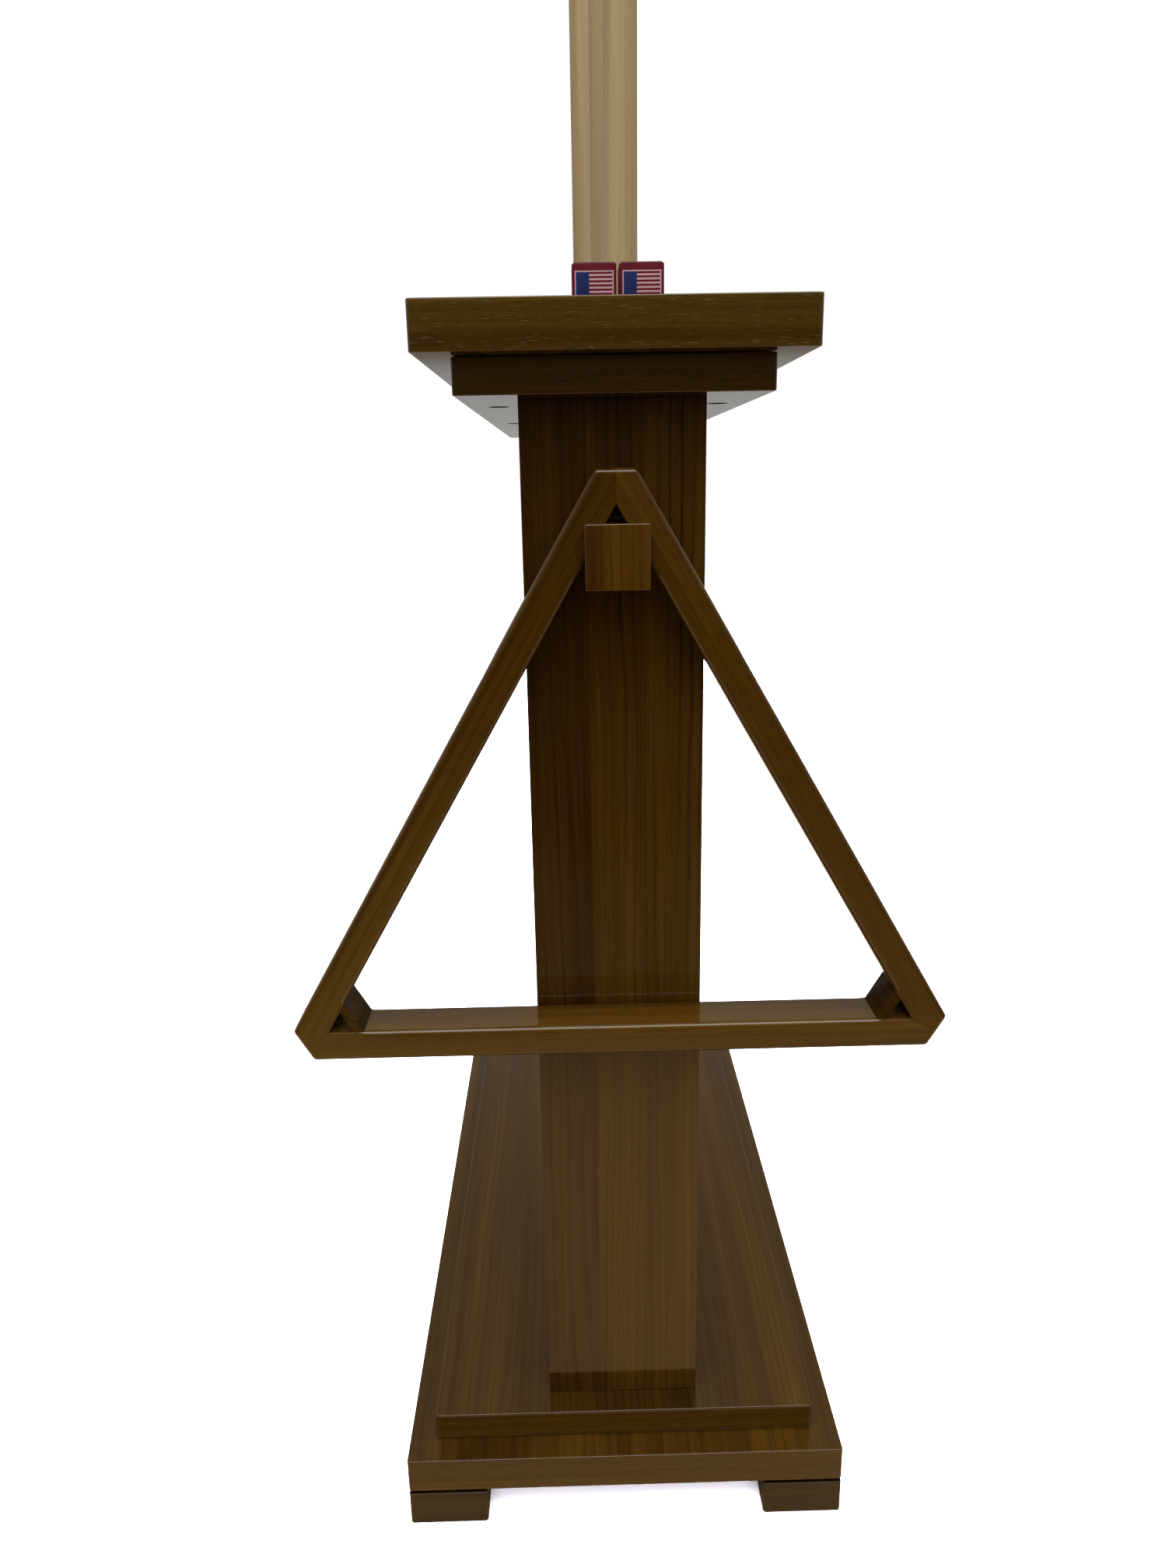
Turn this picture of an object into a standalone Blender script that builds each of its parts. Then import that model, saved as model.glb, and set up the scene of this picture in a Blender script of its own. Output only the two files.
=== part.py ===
"""Floor-standing billiard cue stand with a hanging ball triangle, three cues and two chalks.

Metres, +Z up. X runs across the stand, Y along it. The end with the ball triangle faces -Y.
The origin is on the floor, under the middle of the stand.
"""
import math

import bmesh
import bpy
from mathutils import Matrix, Vector

# ---------------------------------------------------------------- driving dimensions
GAP = 0.0003                  # left between touching pieces
PAST = 0.001                  # how far a cutter reaches past a face
BOARD_EASE = 0.0012           # bevel of the boards' edges
BOARD_CORNER_RADIUS = 0.002   # standing corners of the boards, except the top board

# Feet, from the floor up
FOOT_SIDE = 0.050
FOOT_TOP = 0.0235
FOOT_EASE = 0.0015
SPACER_SIDE = 0.040
SPACER_THICKNESS = 0.0017

# Boards of the base
PLINTH_WIDTH = 0.278
PLINTH_LENGTH = 0.564
PLINTH_THICKNESS = 0.0235
STEP_INSET = 0.0172           # step edge behind the plinth edge, all round
STEP_THICKNESS = 0.018

# End posts
POST_WIDTH = 0.0963
POST_DEPTH = 0.036
POST_HEIGHT = 0.6195
POST_INSET = 0.0338           # post's outer face behind the plinth's end

# Boards of the top
UNDER_OVERHANG = 0.0302       # under-top board past the posts, all round
UNDER_THICKNESS = 0.0177
TOP_OVERHANG = 0.0177         # top board past the under-top board, all round
TOP_THICKNESS = 0.0233
TOP_CORNER_RADIUS = 0.003

# Row of cue places on the centre line
PLACE_COUNT = 6
PLACE_PITCH = 0.078
HOLE_RADIUS = 0.0215
HOLE_ROUND = 0.002            # rounding of the hole rims
RECESS_DEPTH = 0.007

# Ball triangle
TRIANGLE_SIDE = 0.3883        # outer side, measured to the sharp corners
BAR_THICKNESS = 0.0175
BAR_DEPTH = 0.0297
BAR_ROUND = 0.003             # rounding of the bars' long edges
BAR_EASE = 0.0005             # what is left of it inside the corner pockets
TIP_ROUND = 0.0015            # rounding of the cut corners, seen from the front
CORNER_CUT = 0.0205           # along each outer edge, from the sharp corner
STRIP_REACH = 0.0197          # from the inner corner to the strip, along a bar
STRIP_THICKNESS = 0.0045
TRIANGLE_CLEARANCE = 0.004    # between the triangle and the post

# Peg
PEG_HEIGHT = 0.6112
PEG_RADIUS = 0.0075
PEG_INSERT = 0.025
PEG_HEAD_SIDE = 0.032
PEG_HEAD_THICKNESS = 0.012
PEG_HEAD_SOCKET = 0.006
PEG_HEAD_CLEARANCE = 0.001
PEG_HEAD_EASE = 0.0008

# Cue, heights above its own foot
CUE_LENGTH = 1.448
CUE_BUTT_RADIUS = 0.015
CUE_TIP_RADIUS = 0.00625
BUMPER_HEIGHT = 0.012
BUMPER_INSET = 0.001          # bumper's side inside the butt's
BUMPER_ROUND = 0.004
BUTT_EASE = 0.002
BUTT_TOP = 0.420
FERRULE_LENGTH = 0.022
TIP_LENGTH = 0.006

# Cues in the stand: place number, foot offset across, lean (sideways per height)
CUES = ((2, 0.00365, 0.00973), (3, 0.0053, 0.0), (5, -0.0015, -0.00436))

# Chalk cubes
CHALK_SIDE = 0.0222
CHALK_WRAP = 0.0004
CHALK_BARE = 0.0008           # block above its paper
CHALK_EASE = 0.0006
DISH_DEPTH = 0.0022
DISH_RADIUS = 0.0082
CHALK_FRONT = 0.050           # front face behind the top board's end
CHALK_CENTRES = (-0.0083, 0.0154)

# Screws
SCREW_SHANK_RADIUS = 0.002
SCREW_HEAD_RADIUS = 0.004
SCREW_HEAD_HEIGHT = 0.0026
SCREW_HEAD_ROUND = 0.0006
SCREW_SOCKET_RADIUS = 0.0018
SCREW_SOCKET_DEPTH = 0.0012
SCREW_POINT = 0.004
COUNTERBORE_RADIUS = 0.0061

# ---------------------------------------------------------------- derived heights and places
SPACER_BOTTOM = FOOT_TOP + GAP
PLINTH_BOTTOM = SPACER_BOTTOM + SPACER_THICKNESS + GAP
PLINTH_TOP = PLINTH_BOTTOM + PLINTH_THICKNESS
STEP_BOTTOM = PLINTH_TOP + GAP
STEP_TOP = STEP_BOTTOM + STEP_THICKNESS
POST_BOTTOM = STEP_TOP + GAP
POST_TOP = POST_BOTTOM + POST_HEIGHT
UNDER_BOTTOM = POST_TOP + GAP
UNDER_TOP = UNDER_BOTTOM + UNDER_THICKNESS
TOP_BOTTOM = UNDER_TOP + GAP
TOP_TOP = TOP_BOTTOM + TOP_THICKNESS

POST_FACE = PLINTH_LENGTH / 2 - POST_INSET          # distance of a post's outer face from centre
STEP_WIDTH = PLINTH_WIDTH - 2 * STEP_INSET
STEP_LENGTH = PLINTH_LENGTH - 2 * STEP_INSET
UNDER_WIDTH = POST_WIDTH + 2 * UNDER_OVERHANG
UNDER_LENGTH = 2 * (POST_FACE + UNDER_OVERHANG)
TOP_WIDTH = UNDER_WIDTH + 2 * TOP_OVERHANG
TOP_LENGTH = UNDER_LENGTH + 2 * TOP_OVERHANG
POST_CENTRE = POST_FACE - POST_DEPTH / 2
FOOT_X = (PLINTH_WIDTH - FOOT_SIDE) / 2
FOOT_Y = (PLINTH_LENGTH - FOOT_SIDE) / 2
RECESS_FLOOR = STEP_TOP - RECESS_DEPTH
CUE_FOOT = RECESS_FLOOR + GAP

# Triangle: the strip in its top corner rests on the peg
HALF_CORNER = math.radians(30)
STRIP_FACE = STRIP_REACH * math.cos(HALF_CORNER)        # strip's inner face from the inner corner
INNER_CORNER_Z = PEG_HEIGHT + PEG_RADIUS + GAP + STRIP_FACE
INNER_SIDE = TRIANGLE_SIDE - 2 * math.sqrt(3) * BAR_THICKNESS
TRIANGLE_CENTRE_Z = INNER_CORNER_Z - INNER_SIDE / math.sqrt(3)
TRIANGLE_BACK = -POST_FACE - TRIANGLE_CLEARANCE
TRIANGLE_FRONT = TRIANGLE_BACK - BAR_DEPTH
TRIANGLE_Y = (TRIANGLE_FRONT + TRIANGLE_BACK) / 2

# Screw places
EDGE_SCREW_X = 0.061                                    # under-top to top board, near the edges
EDGE_SCREW_Y = (-0.190, 0.0, 0.190)
POST_SCREW_X = 0.028
SCREW_BITE = 0.014                                      # thread in the last piece
POST_SCREW_BITE = 0.030
PLINTH_COUNTERBORE = 0.012
EDGE_COUNTERBORE = 0.008
FOOT_COUNTERBORE = 0.010

WALNUT = ((0.16, 0.10, 0.055), 0.35, 0.0)
TRIANGLE_WOOD = ((0.19, 0.12, 0.065), 0.4, 0.0)
MAPLE = ((0.72, 0.60, 0.42), 0.35, 0.0)
STAINED_WOOD = ((0.10, 0.05, 0.035), 0.3, 0.0)
BLACK_RUBBER = ((0.03, 0.03, 0.03), 0.8, 0.0)
STEEL = ((0.45, 0.44, 0.42), 0.4, 1.0)
BEECH = ((0.65, 0.48, 0.30), 0.6, 0.0)
FERRULE_WHITE = ((0.85, 0.84, 0.80), 0.3, 0.0)
TIP_LEATHER = ((0.20, 0.32, 0.42), 0.85, 0.0)
CHALK_BODY = ((0.10, 0.03, 0.05), 0.95, 0.0)
WRAPPER = ((0.45, 0.05, 0.14), 0.55, 0.0)


SMOOTH_ANGLE = math.radians(40)                         # sharper edges stay sharp


# ---------------------------------------------------------------- helpers
def clear_scene():
    for obj in list(bpy.data.objects):
        bpy.data.objects.remove(obj, do_unlink=True)


def material(name, finish):
    colour, roughness, metallic = finish
    mat = bpy.data.materials.new(name)
    mat.use_nodes = True
    shader = mat.node_tree.nodes["Principled BSDF"]
    shader.inputs["Base Color"].default_value = (*colour, 1.0)
    shader.inputs["Roughness"].default_value = roughness
    shader.inputs["Metallic"].default_value = metallic
    return mat


def add_object(name, bm, finish, parent=None, smooth=False):
    """Turn a bmesh into a named object with its own material."""
    bmesh.ops.recalc_face_normals(bm, faces=bm.faces)
    mesh = bpy.data.meshes.new(name)
    bm.to_mesh(mesh)
    bm.free()
    if smooth:
        mesh.shade_smooth()
        mesh.set_sharp_from_angle(angle=SMOOTH_ANGLE)
    obj = bpy.data.objects.new(name, mesh)
    bpy.context.scene.collection.objects.link(obj)
    mesh.materials.append(material(name, finish))
    obj.parent = parent
    return obj


def add_empty(name, location, tilt=0.0):
    """An empty on a joint's axis, leaning sideways by tilt radians."""
    empty = bpy.data.objects.new(name, None)
    empty.location = location
    empty.rotation_euler = (0.0, tilt, 0.0)
    bpy.context.scene.collection.objects.link(empty)
    return empty


def box(bm, centre, size):
    matrix = Matrix.Translation(centre) @ Matrix.Diagonal((*size, 1.0))
    bmesh.ops.create_cube(bm, size=1.0, matrix=matrix)


def turned(bm, profile, base=(0.0, 0.0, 0.0), segments=24):
    """Turn (radius, height) points about Z. Ends on the axis close the shape."""
    rings = []
    for radius, height in profile:
        if radius == 0.0:
            rings.append([bm.verts.new((base[0], base[1], base[2] + height))])
            continue
        ring = []
        for step in range(segments):
            angle = 2 * math.pi * step / segments
            ring.append(bm.verts.new((base[0] + radius * math.cos(angle),
                                      base[1] + radius * math.sin(angle), base[2] + height)))
        rings.append(ring)
    for lower, upper in zip(rings, rings[1:]):
        for step in range(segments):
            after = (step + 1) % segments
            corners = [lower[step % len(lower)], lower[after % len(lower)],
                       upper[after % len(upper)], upper[step % len(upper)]]
            unique = list(dict.fromkeys(corners))
            bm.faces.new(unique)


def cylinder(bm, radius, low, high, base=(0.0, 0.0), segments=24):
    turned(bm, [(0.0, low), (radius, low), (radius, high), (0.0, high)],
           (base[0], base[1], 0.0), segments)


def add_bevel(obj, width, segments=2):
    bevel = obj.modifiers.new("eased edges", "BEVEL")
    bevel.width = width
    bevel.segments = segments
    bevel.limit_method = "ANGLE"
    bevel.angle_limit = SMOOTH_ANGLE


def cut(obj, bm):
    """Subtract the closed shapes in bm from obj."""
    bmesh.ops.recalc_face_normals(bm, faces=bm.faces)
    mesh = bpy.data.meshes.new(obj.name + "_cutter")
    bm.to_mesh(mesh)
    bm.free()
    cutter = bpy.data.objects.new(obj.name + "_cutter", mesh)
    cutter.hide_render = True
    cutter.display_type = "WIRE"
    bpy.context.scene.collection.objects.link(cutter)
    boolean = obj.modifiers.new("holes", "BOOLEAN")
    boolean.operation = "DIFFERENCE"
    boolean.solver = "EXACT"
    boolean.object = cutter


def board(name, size, bottom, ease=BOARD_EASE, centre=(0.0, 0.0), upright=0.0):
    """A walnut board with eased edges. upright rounds its standing corners first."""
    bm = bmesh.new()
    box(bm, (centre[0], centre[1], bottom + size[2] / 2), size)
    if upright:
        standing = [edge for edge in bm.edges
                    if abs(edge.verts[0].co.z - edge.verts[1].co.z) > size[2] / 2]
        bmesh.ops.bevel(bm, geom=standing, offset=upright, segments=3, affect="EDGES", profile=0.5)
    obj = add_object(name, bm, WALNUT)
    add_bevel(obj, ease)
    return obj


def places():
    """Y of each cue place, from the triangle's end."""
    first = -PLACE_PITCH * (PLACE_COUNT - 1) / 2
    return [first + PLACE_PITCH * index for index in range(PLACE_COUNT)]


def corners(x, y):
    return [(-x, -y), (x, -y), (-x, y), (x, y)]


def grid(x, ys):
    return [(side * x, y) for y in ys for side in (-1, 1)]


def clearance_hole(bm, spot, low, high):
    """Cutter for a screw's shank, from height low to height high."""
    cylinder(bm, SCREW_SHANK_RADIUS + GAP, low, high, spot, 10)


def counterbore(bm, spot, low, high):
    """Cutter for a screw head's counterbore."""
    cylinder(bm, COUNTERBORE_RADIUS, low, high, spot, 16)


def screws(name, spots, seat, end):
    """Pan-head screws, one object each: heads on height seat, points at height end."""
    sign = 1 if end > seat else -1
    rim = SCREW_HEAD_ROUND
    head = seat - sign * GAP
    outer = head - sign * SCREW_HEAD_HEIGHT
    for number, (x, y) in enumerate(spots, start=1):
        bm = bmesh.new()
        profile = [(0.0, outer + sign * SCREW_SOCKET_DEPTH),
                   (SCREW_SOCKET_RADIUS, outer + sign * SCREW_SOCKET_DEPTH / 6),
                   (SCREW_HEAD_RADIUS - rim, outer), (SCREW_HEAD_RADIUS, outer + sign * rim),
                   (SCREW_HEAD_RADIUS, head), (SCREW_SHANK_RADIUS, head),
                   (SCREW_SHANK_RADIUS, end - sign * SCREW_POINT), (0.0, end)]
        turned(bm, profile, (x, y, 0.0), 10)
        add_object(f"{name}_{number}", bm, STEEL, smooth=True)


def ring_block(bm, centre, half, radius, low, high, segments=8):
    """A square plate with a round hole, as one closed solid."""
    def square_point(angle):
        x, y = math.cos(angle), math.sin(angle)
        reach = half / max(abs(x), abs(y))
        return x * reach, y * reach

    layers = []
    for height in (low, high):
        outer, inner = [], []
        for step in range(segments):
            angle = 2 * math.pi * step / segments
            px, py = square_point(angle)
            outer.append(bm.verts.new((centre[0] + px, centre[1] + py, height)))
            inner.append(bm.verts.new((centre[0] + radius * math.cos(angle),
                                       centre[1] + radius * math.sin(angle), height)))
        layers.append((outer, inner))
    (outer_low, inner_low), (outer_high, inner_high) = layers
    for step in range(segments):
        after = (step + 1) % segments
        for first, second in ((outer_low, inner_low), (inner_low, inner_high),
                              (inner_high, outer_high), (outer_high, outer_low)):
            bm.faces.new((first[step], first[after], second[after], second[step]))


# ---------------------------------------------------------------- base
def make_feet():
    names = ("front_left", "front_right", "rear_left", "rear_right")
    spots = corners(FOOT_X, FOOT_Y)
    for name, spot in zip(names, spots):
        foot = board(f"foot_{name}", (FOOT_SIDE, FOOT_SIDE, FOOT_TOP), 0.0, ease=FOOT_EASE, centre=spot)
        bm = bmesh.new()
        counterbore(bm, spot, -PAST, FOOT_COUNTERBORE)
        cut(foot, bm)
        bm = bmesh.new()
        clearance_hole(bm, spot, FOOT_COUNTERBORE / 2, FOOT_TOP + PAST)
        cut(foot, bm)

        bm = bmesh.new()
        ring_block(bm, spot, SPACER_SIDE / 2, SCREW_SHANK_RADIUS + GAP, SPACER_BOTTOM,
                   SPACER_BOTTOM + SPACER_THICKNESS)
        add_object(f"foot_spacer_{name}", bm, BLACK_RUBBER)
    screws("foot_screw", spots, FOOT_COUNTERBORE, PLINTH_BOTTOM + SCREW_BITE)


def make_base():
    plinth = board("plinth_board", (PLINTH_WIDTH, PLINTH_LENGTH, PLINTH_THICKNESS), PLINTH_BOTTOM,
                   upright=BOARD_CORNER_RADIUS)
    post_spots = grid(POST_SCREW_X, (-POST_CENTRE, POST_CENTRE))
    seat = PLINTH_BOTTOM + PLINTH_COUNTERBORE
    bores = bmesh.new()
    for spot in post_spots:
        counterbore(bores, spot, PLINTH_BOTTOM - PAST, seat)
    for spot in corners(FOOT_X, FOOT_Y):
        clearance_hole(bores, spot, PLINTH_BOTTOM - PAST, PLINTH_BOTTOM + SCREW_BITE + PAST)
    cut(plinth, bores)
    shanks = bmesh.new()
    for spot in post_spots:
        clearance_hole(shanks, spot, seat - PAST, PLINTH_TOP + PAST)
    cut(plinth, shanks)

    step = board("step_board", (STEP_WIDTH, STEP_LENGTH, STEP_THICKNESS), STEP_BOTTOM,
                 upright=BOARD_CORNER_RADIUS)
    bm = bmesh.new()
    for y in places():
        turned(bm, [(0.0, RECESS_FLOOR), (HOLE_RADIUS, RECESS_FLOOR),
                    (HOLE_RADIUS, STEP_TOP - HOLE_ROUND / 2),
                    (HOLE_RADIUS + HOLE_ROUND / 2, STEP_TOP),
                    (HOLE_RADIUS + HOLE_ROUND / 2, STEP_TOP + 2 * PAST), (0.0, STEP_TOP + 2 * PAST)],
               (0.0, y, 0.0), 32)
    for spot in post_spots:
        clearance_hole(bm, spot, STEP_BOTTOM - PAST, STEP_TOP + PAST)
    cut(step, bm)
    screws("post_lower_screw", post_spots, seat, POST_BOTTOM + POST_SCREW_BITE)


# ---------------------------------------------------------------- posts and top
def make_posts():
    for name, side in (("front_post", -1), ("rear_post", 1)):
        y = side * POST_CENTRE
        post = board(name, (POST_WIDTH, POST_DEPTH, POST_HEIGHT), POST_BOTTOM, centre=(0.0, y))
        bm = bmesh.new()
        for x in (-POST_SCREW_X, POST_SCREW_X):
            clearance_hole(bm, (x, y), POST_BOTTOM - PAST, POST_BOTTOM + POST_SCREW_BITE + PAST)
            clearance_hole(bm, (x, y), POST_TOP - POST_SCREW_BITE - PAST, POST_TOP + PAST)
        if side < 0:
            peg_bore(bm, -POST_FACE - PAST, -POST_FACE + PEG_INSERT + GAP, PEG_RADIUS + GAP)
        cut(post, bm)


def peg_bore(bm, y_low, y_high, radius):
    """A round hole or pin along Y at the peg's height."""
    start = len(bm.verts)
    cylinder(bm, radius, y_low, y_high, segments=24)
    bm.verts.ensure_lookup_table()
    turn = Matrix.Rotation(math.radians(-90), 4, "X")
    for vert in bm.verts[start:]:
        vert.co = turn @ vert.co + Vector((0.0, 0.0, PEG_HEIGHT))


def through_hole(bm, y, low, high, flare_low, flare_high):
    """Cutter for a cue hole, with a rounded rim at the faces that flare."""
    flare = HOLE_RADIUS + HOLE_ROUND
    middle = HOLE_RADIUS + HOLE_ROUND * 0.3
    inset = HOLE_ROUND * 0.3
    profile = [(0.0, low - PAST)]
    if flare_low:
        profile += [(flare, low - PAST), (flare, low), (middle, low + inset),
                    (HOLE_RADIUS, low + HOLE_ROUND)]
    else:
        profile.append((HOLE_RADIUS, low - PAST))
    if flare_high:
        profile += [(HOLE_RADIUS, high - HOLE_ROUND), (middle, high - inset), (flare, high),
                    (flare, high + PAST)]
    else:
        profile.append((HOLE_RADIUS, high + PAST))
    profile.append((0.0, high + PAST))
    turned(bm, profile, (0.0, y, 0.0), 32)


def make_top():
    edge_spots = grid(EDGE_SCREW_X, EDGE_SCREW_Y)
    post_spots = grid(POST_SCREW_X, (-POST_CENTRE, POST_CENTRE))
    edge_seat = UNDER_BOTTOM + EDGE_COUNTERBORE
    post_seat = UNDER_TOP - SCREW_HEAD_HEIGHT - 2 * GAP
    under = board("under_top_board", (UNDER_WIDTH, UNDER_LENGTH, UNDER_THICKNESS), UNDER_BOTTOM,
                  upright=BOARD_CORNER_RADIUS)
    bores = bmesh.new()
    for y in places():
        through_hole(bores, y, UNDER_BOTTOM, UNDER_TOP, True, False)
    for spot in edge_spots:
        counterbore(bores, spot, UNDER_BOTTOM - PAST, edge_seat)
    for spot in post_spots:
        counterbore(bores, spot, post_seat, UNDER_TOP + PAST)
    cut(under, bores)
    shanks = bmesh.new()
    for spot in edge_spots:
        clearance_hole(shanks, spot, edge_seat - PAST, UNDER_TOP + PAST)
    for spot in post_spots:
        clearance_hole(shanks, spot, UNDER_BOTTOM - PAST, post_seat + PAST)
    cut(under, shanks)
    screws("post_upper_screw", post_spots, post_seat, POST_TOP - POST_SCREW_BITE)
    screws("top_board_screw", edge_spots, edge_seat, TOP_BOTTOM + SCREW_BITE)

    top = board("top_board", (TOP_WIDTH, TOP_LENGTH, TOP_THICKNESS), TOP_BOTTOM,
                upright=TOP_CORNER_RADIUS)
    bm = bmesh.new()
    for y in places():
        through_hole(bm, y, TOP_BOTTOM, TOP_TOP, False, True)
    for spot in edge_spots:
        clearance_hole(bm, spot, TOP_BOTTOM - PAST, TOP_BOTTOM + SCREW_BITE + PAST)
    cut(top, bm)


# ---------------------------------------------------------------- peg and ball triangle
def make_peg():
    head_back = TRIANGLE_FRONT - PEG_HEAD_CLEARANCE
    bm = bmesh.new()
    peg_bore(bm, head_back - PEG_HEAD_SOCKET + GAP, -POST_FACE + PEG_INSERT, PEG_RADIUS)
    add_object("peg_dowel", bm, BEECH, smooth=True)

    bm = bmesh.new()
    box(bm, (0.0, head_back - PEG_HEAD_THICKNESS / 2, PEG_HEIGHT),
        (PEG_HEAD_SIDE, PEG_HEAD_THICKNESS, PEG_HEAD_SIDE))
    head = add_object("peg_head", bm, WALNUT)
    add_bevel(head, PEG_HEAD_EASE)
    bm = bmesh.new()
    peg_bore(bm, head_back - PEG_HEAD_SOCKET, head_back + PAST, PEG_RADIUS + GAP)
    cut(head, bm)


def bar_section(inner_radius, steps=3):
    """(across, along Y) points round a bar's section, outer corners sharp; across 0 is inside."""
    half = BAR_DEPTH / 2
    arcs = []
    for side, start in ((-1, 180), (1, 90)):
        angles = [math.radians(start + 90 * step / steps) for step in range(steps + 1)]
        arcs.append([(inner_radius + inner_radius * math.cos(angle),
                      side * (half - inner_radius) + inner_radius * math.sin(angle))
                     for angle in angles])
    return arcs[0] + [(BAR_THICKNESS, -half), (BAR_THICKNESS, half)] + arcs[1]


def edges_between(bm, first, second):
    """Edges whose two faces answer the two tests on their normals, in either order."""
    found = []
    for edge in bm.edges:
        normals = [face.normal for face in edge.link_faces]
        if len(normals) == 2 and any(first(one) and second(other)
                                     for one, other in (normals, normals[::-1])):
            found.append(edge)
    return found


def place_in_triangle(bm, turn):
    """Turn a piece about the triangle's centre, then move it to the peg empty's space."""
    centre = Matrix.Translation((0.0, 0.0, TRIANGLE_CENTRE_Z - PEG_HEIGHT))
    matrix = centre @ Matrix.Rotation(math.radians(turn), 4, "Y")
    bmesh.ops.transform(bm, matrix=matrix, verts=bm.verts)


def mitred_bar(name, parent, turn):
    """One bar of the triangle: mitred at 30 degrees, its outer tips cut flat.

    The inner edges are rounded only between the corner strips, the outer ones all round.
    """
    inner_half = INNER_SIDE / 2
    centre_to_inner = INNER_SIDE / (2 * math.sqrt(3))
    strip_end = inner_half - STRIP_REACH

    def mitre(across):
        return inner_half + across * math.sqrt(3) - GAP / math.sqrt(3)

    sharp, rounded = bar_section(BAR_EASE), bar_section(BAR_ROUND)
    stations = [(sharp, mitre), (sharp, lambda across: strip_end + STRIP_THICKNESS / 2),
                (rounded, lambda across: strip_end - BAR_ROUND)]
    bm = bmesh.new()
    rings = []
    for side, order in ((-1, stations), (1, stations[::-1])):
        for section, reach in order:
            rings.append([bm.verts.new((side * reach(across), along, -centre_to_inner - across))
                          for across, along in section])
    count = len(sharp)
    for left, right in zip(rings, rings[1:]):
        for step in range(count):
            after = (step + 1) % count
            bm.faces.new((left[step], left[after], right[after], right[step]))
    bm.faces.new(rings[0])
    bm.faces.new(rings[-1])
    bmesh.ops.recalc_face_normals(bm, faces=bm.faces)

    outer_reach = TRIANGLE_SIDE / math.sqrt(3) - CORNER_CUT * math.cos(HALF_CORNER)
    for side in (-1, 1):
        direction = Vector((side * math.cos(HALF_CORNER), 0.0, -math.sin(HALF_CORNER)))
        tip = bmesh.ops.bisect_plane(bm, geom=bm.verts[:] + bm.edges[:] + bm.faces[:],
                                     plane_co=direction * outer_reach, plane_no=direction,
                                     clear_outer=True)
        rim = [item for item in tip["geom_cut"] if isinstance(item, bmesh.types.BMEdge)]
        bmesh.ops.edgeloop_fill(bm, edges=rim)
    bmesh.ops.recalc_face_normals(bm, faces=bm.faces)
    corners = edges_between(bm, lambda normal: normal.z < -0.99, lambda normal: -0.6 < normal.z < -0.4)
    bmesh.ops.bevel(bm, geom=corners, offset=TIP_ROUND, segments=2, affect="EDGES", profile=0.5)
    outline = edges_between(bm, lambda normal: abs(normal.y) > 0.99,
                            lambda normal: normal.z < -0.4 and abs(normal.y) < 0.01)
    bmesh.ops.bevel(bm, geom=outline, offset=BAR_ROUND, segments=3, affect="EDGES", profile=0.5)
    place_in_triangle(bm, turn)
    add_object(name, bm, TRIANGLE_WOOD, parent, smooth=True)


def corner_strip(name, parent, turn):
    """A thin strip across an inner corner; modelled in the top corner, then turned."""
    corner = INNER_SIDE / math.sqrt(3)
    slope = math.tan(HALF_CORNER)
    gap_across = GAP / math.cos(HALF_CORNER)
    low = STRIP_FACE
    high = STRIP_FACE - STRIP_THICKNESS
    half_depth = BAR_DEPTH / 2
    bm = bmesh.new()
    layers = []
    for along in (-half_depth, half_depth):
        layers.append([bm.verts.new((side * (down * slope - gap_across), along, corner - down))
                       for side, down in ((-1, low), (1, low), (1, high), (-1, high))])
    front, back = layers
    bm.faces.new(front)
    bm.faces.new(back)
    for step in range(4):
        after = (step + 1) % 4
        bm.faces.new((front[step], front[after], back[after], back[step]))
    for first, radius in ((0, BAR_ROUND), (2, BAR_EASE)):
        crossing = [bm.edges.get((layer[first], layer[first + 1])) for layer in layers]
        bmesh.ops.bevel(bm, geom=crossing, offset=radius, segments=3, affect="EDGES", profile=0.5)
    place_in_triangle(bm, turn)
    add_object(name, bm, TRIANGLE_WOOD, parent, smooth=True)


def make_triangle():
    pivot = add_empty("triangle_pivot", (0.0, TRIANGLE_Y, PEG_HEIGHT))
    for name, turn in (("triangle_bar_bottom", 0), ("triangle_bar_left", 120),
                       ("triangle_bar_right", -120)):
        mitred_bar(name, pivot, turn)
    for name, turn in (("triangle_strip_top", 0), ("triangle_strip_left", -120),
                       ("triangle_strip_right", 120)):
        corner_strip(name, pivot, turn)


# ---------------------------------------------------------------- cues and chalk
def cue_radius(height):
    """Straight taper from butt to tip."""
    share = height / CUE_LENGTH
    return CUE_BUTT_RADIUS + (CUE_TIP_RADIUS - CUE_BUTT_RADIUS) * share


def tapered(low, high, count):
    return [(cue_radius(low + (high - low) * step / count), low + (high - low) * step / count)
            for step in range(count + 1)]


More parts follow.
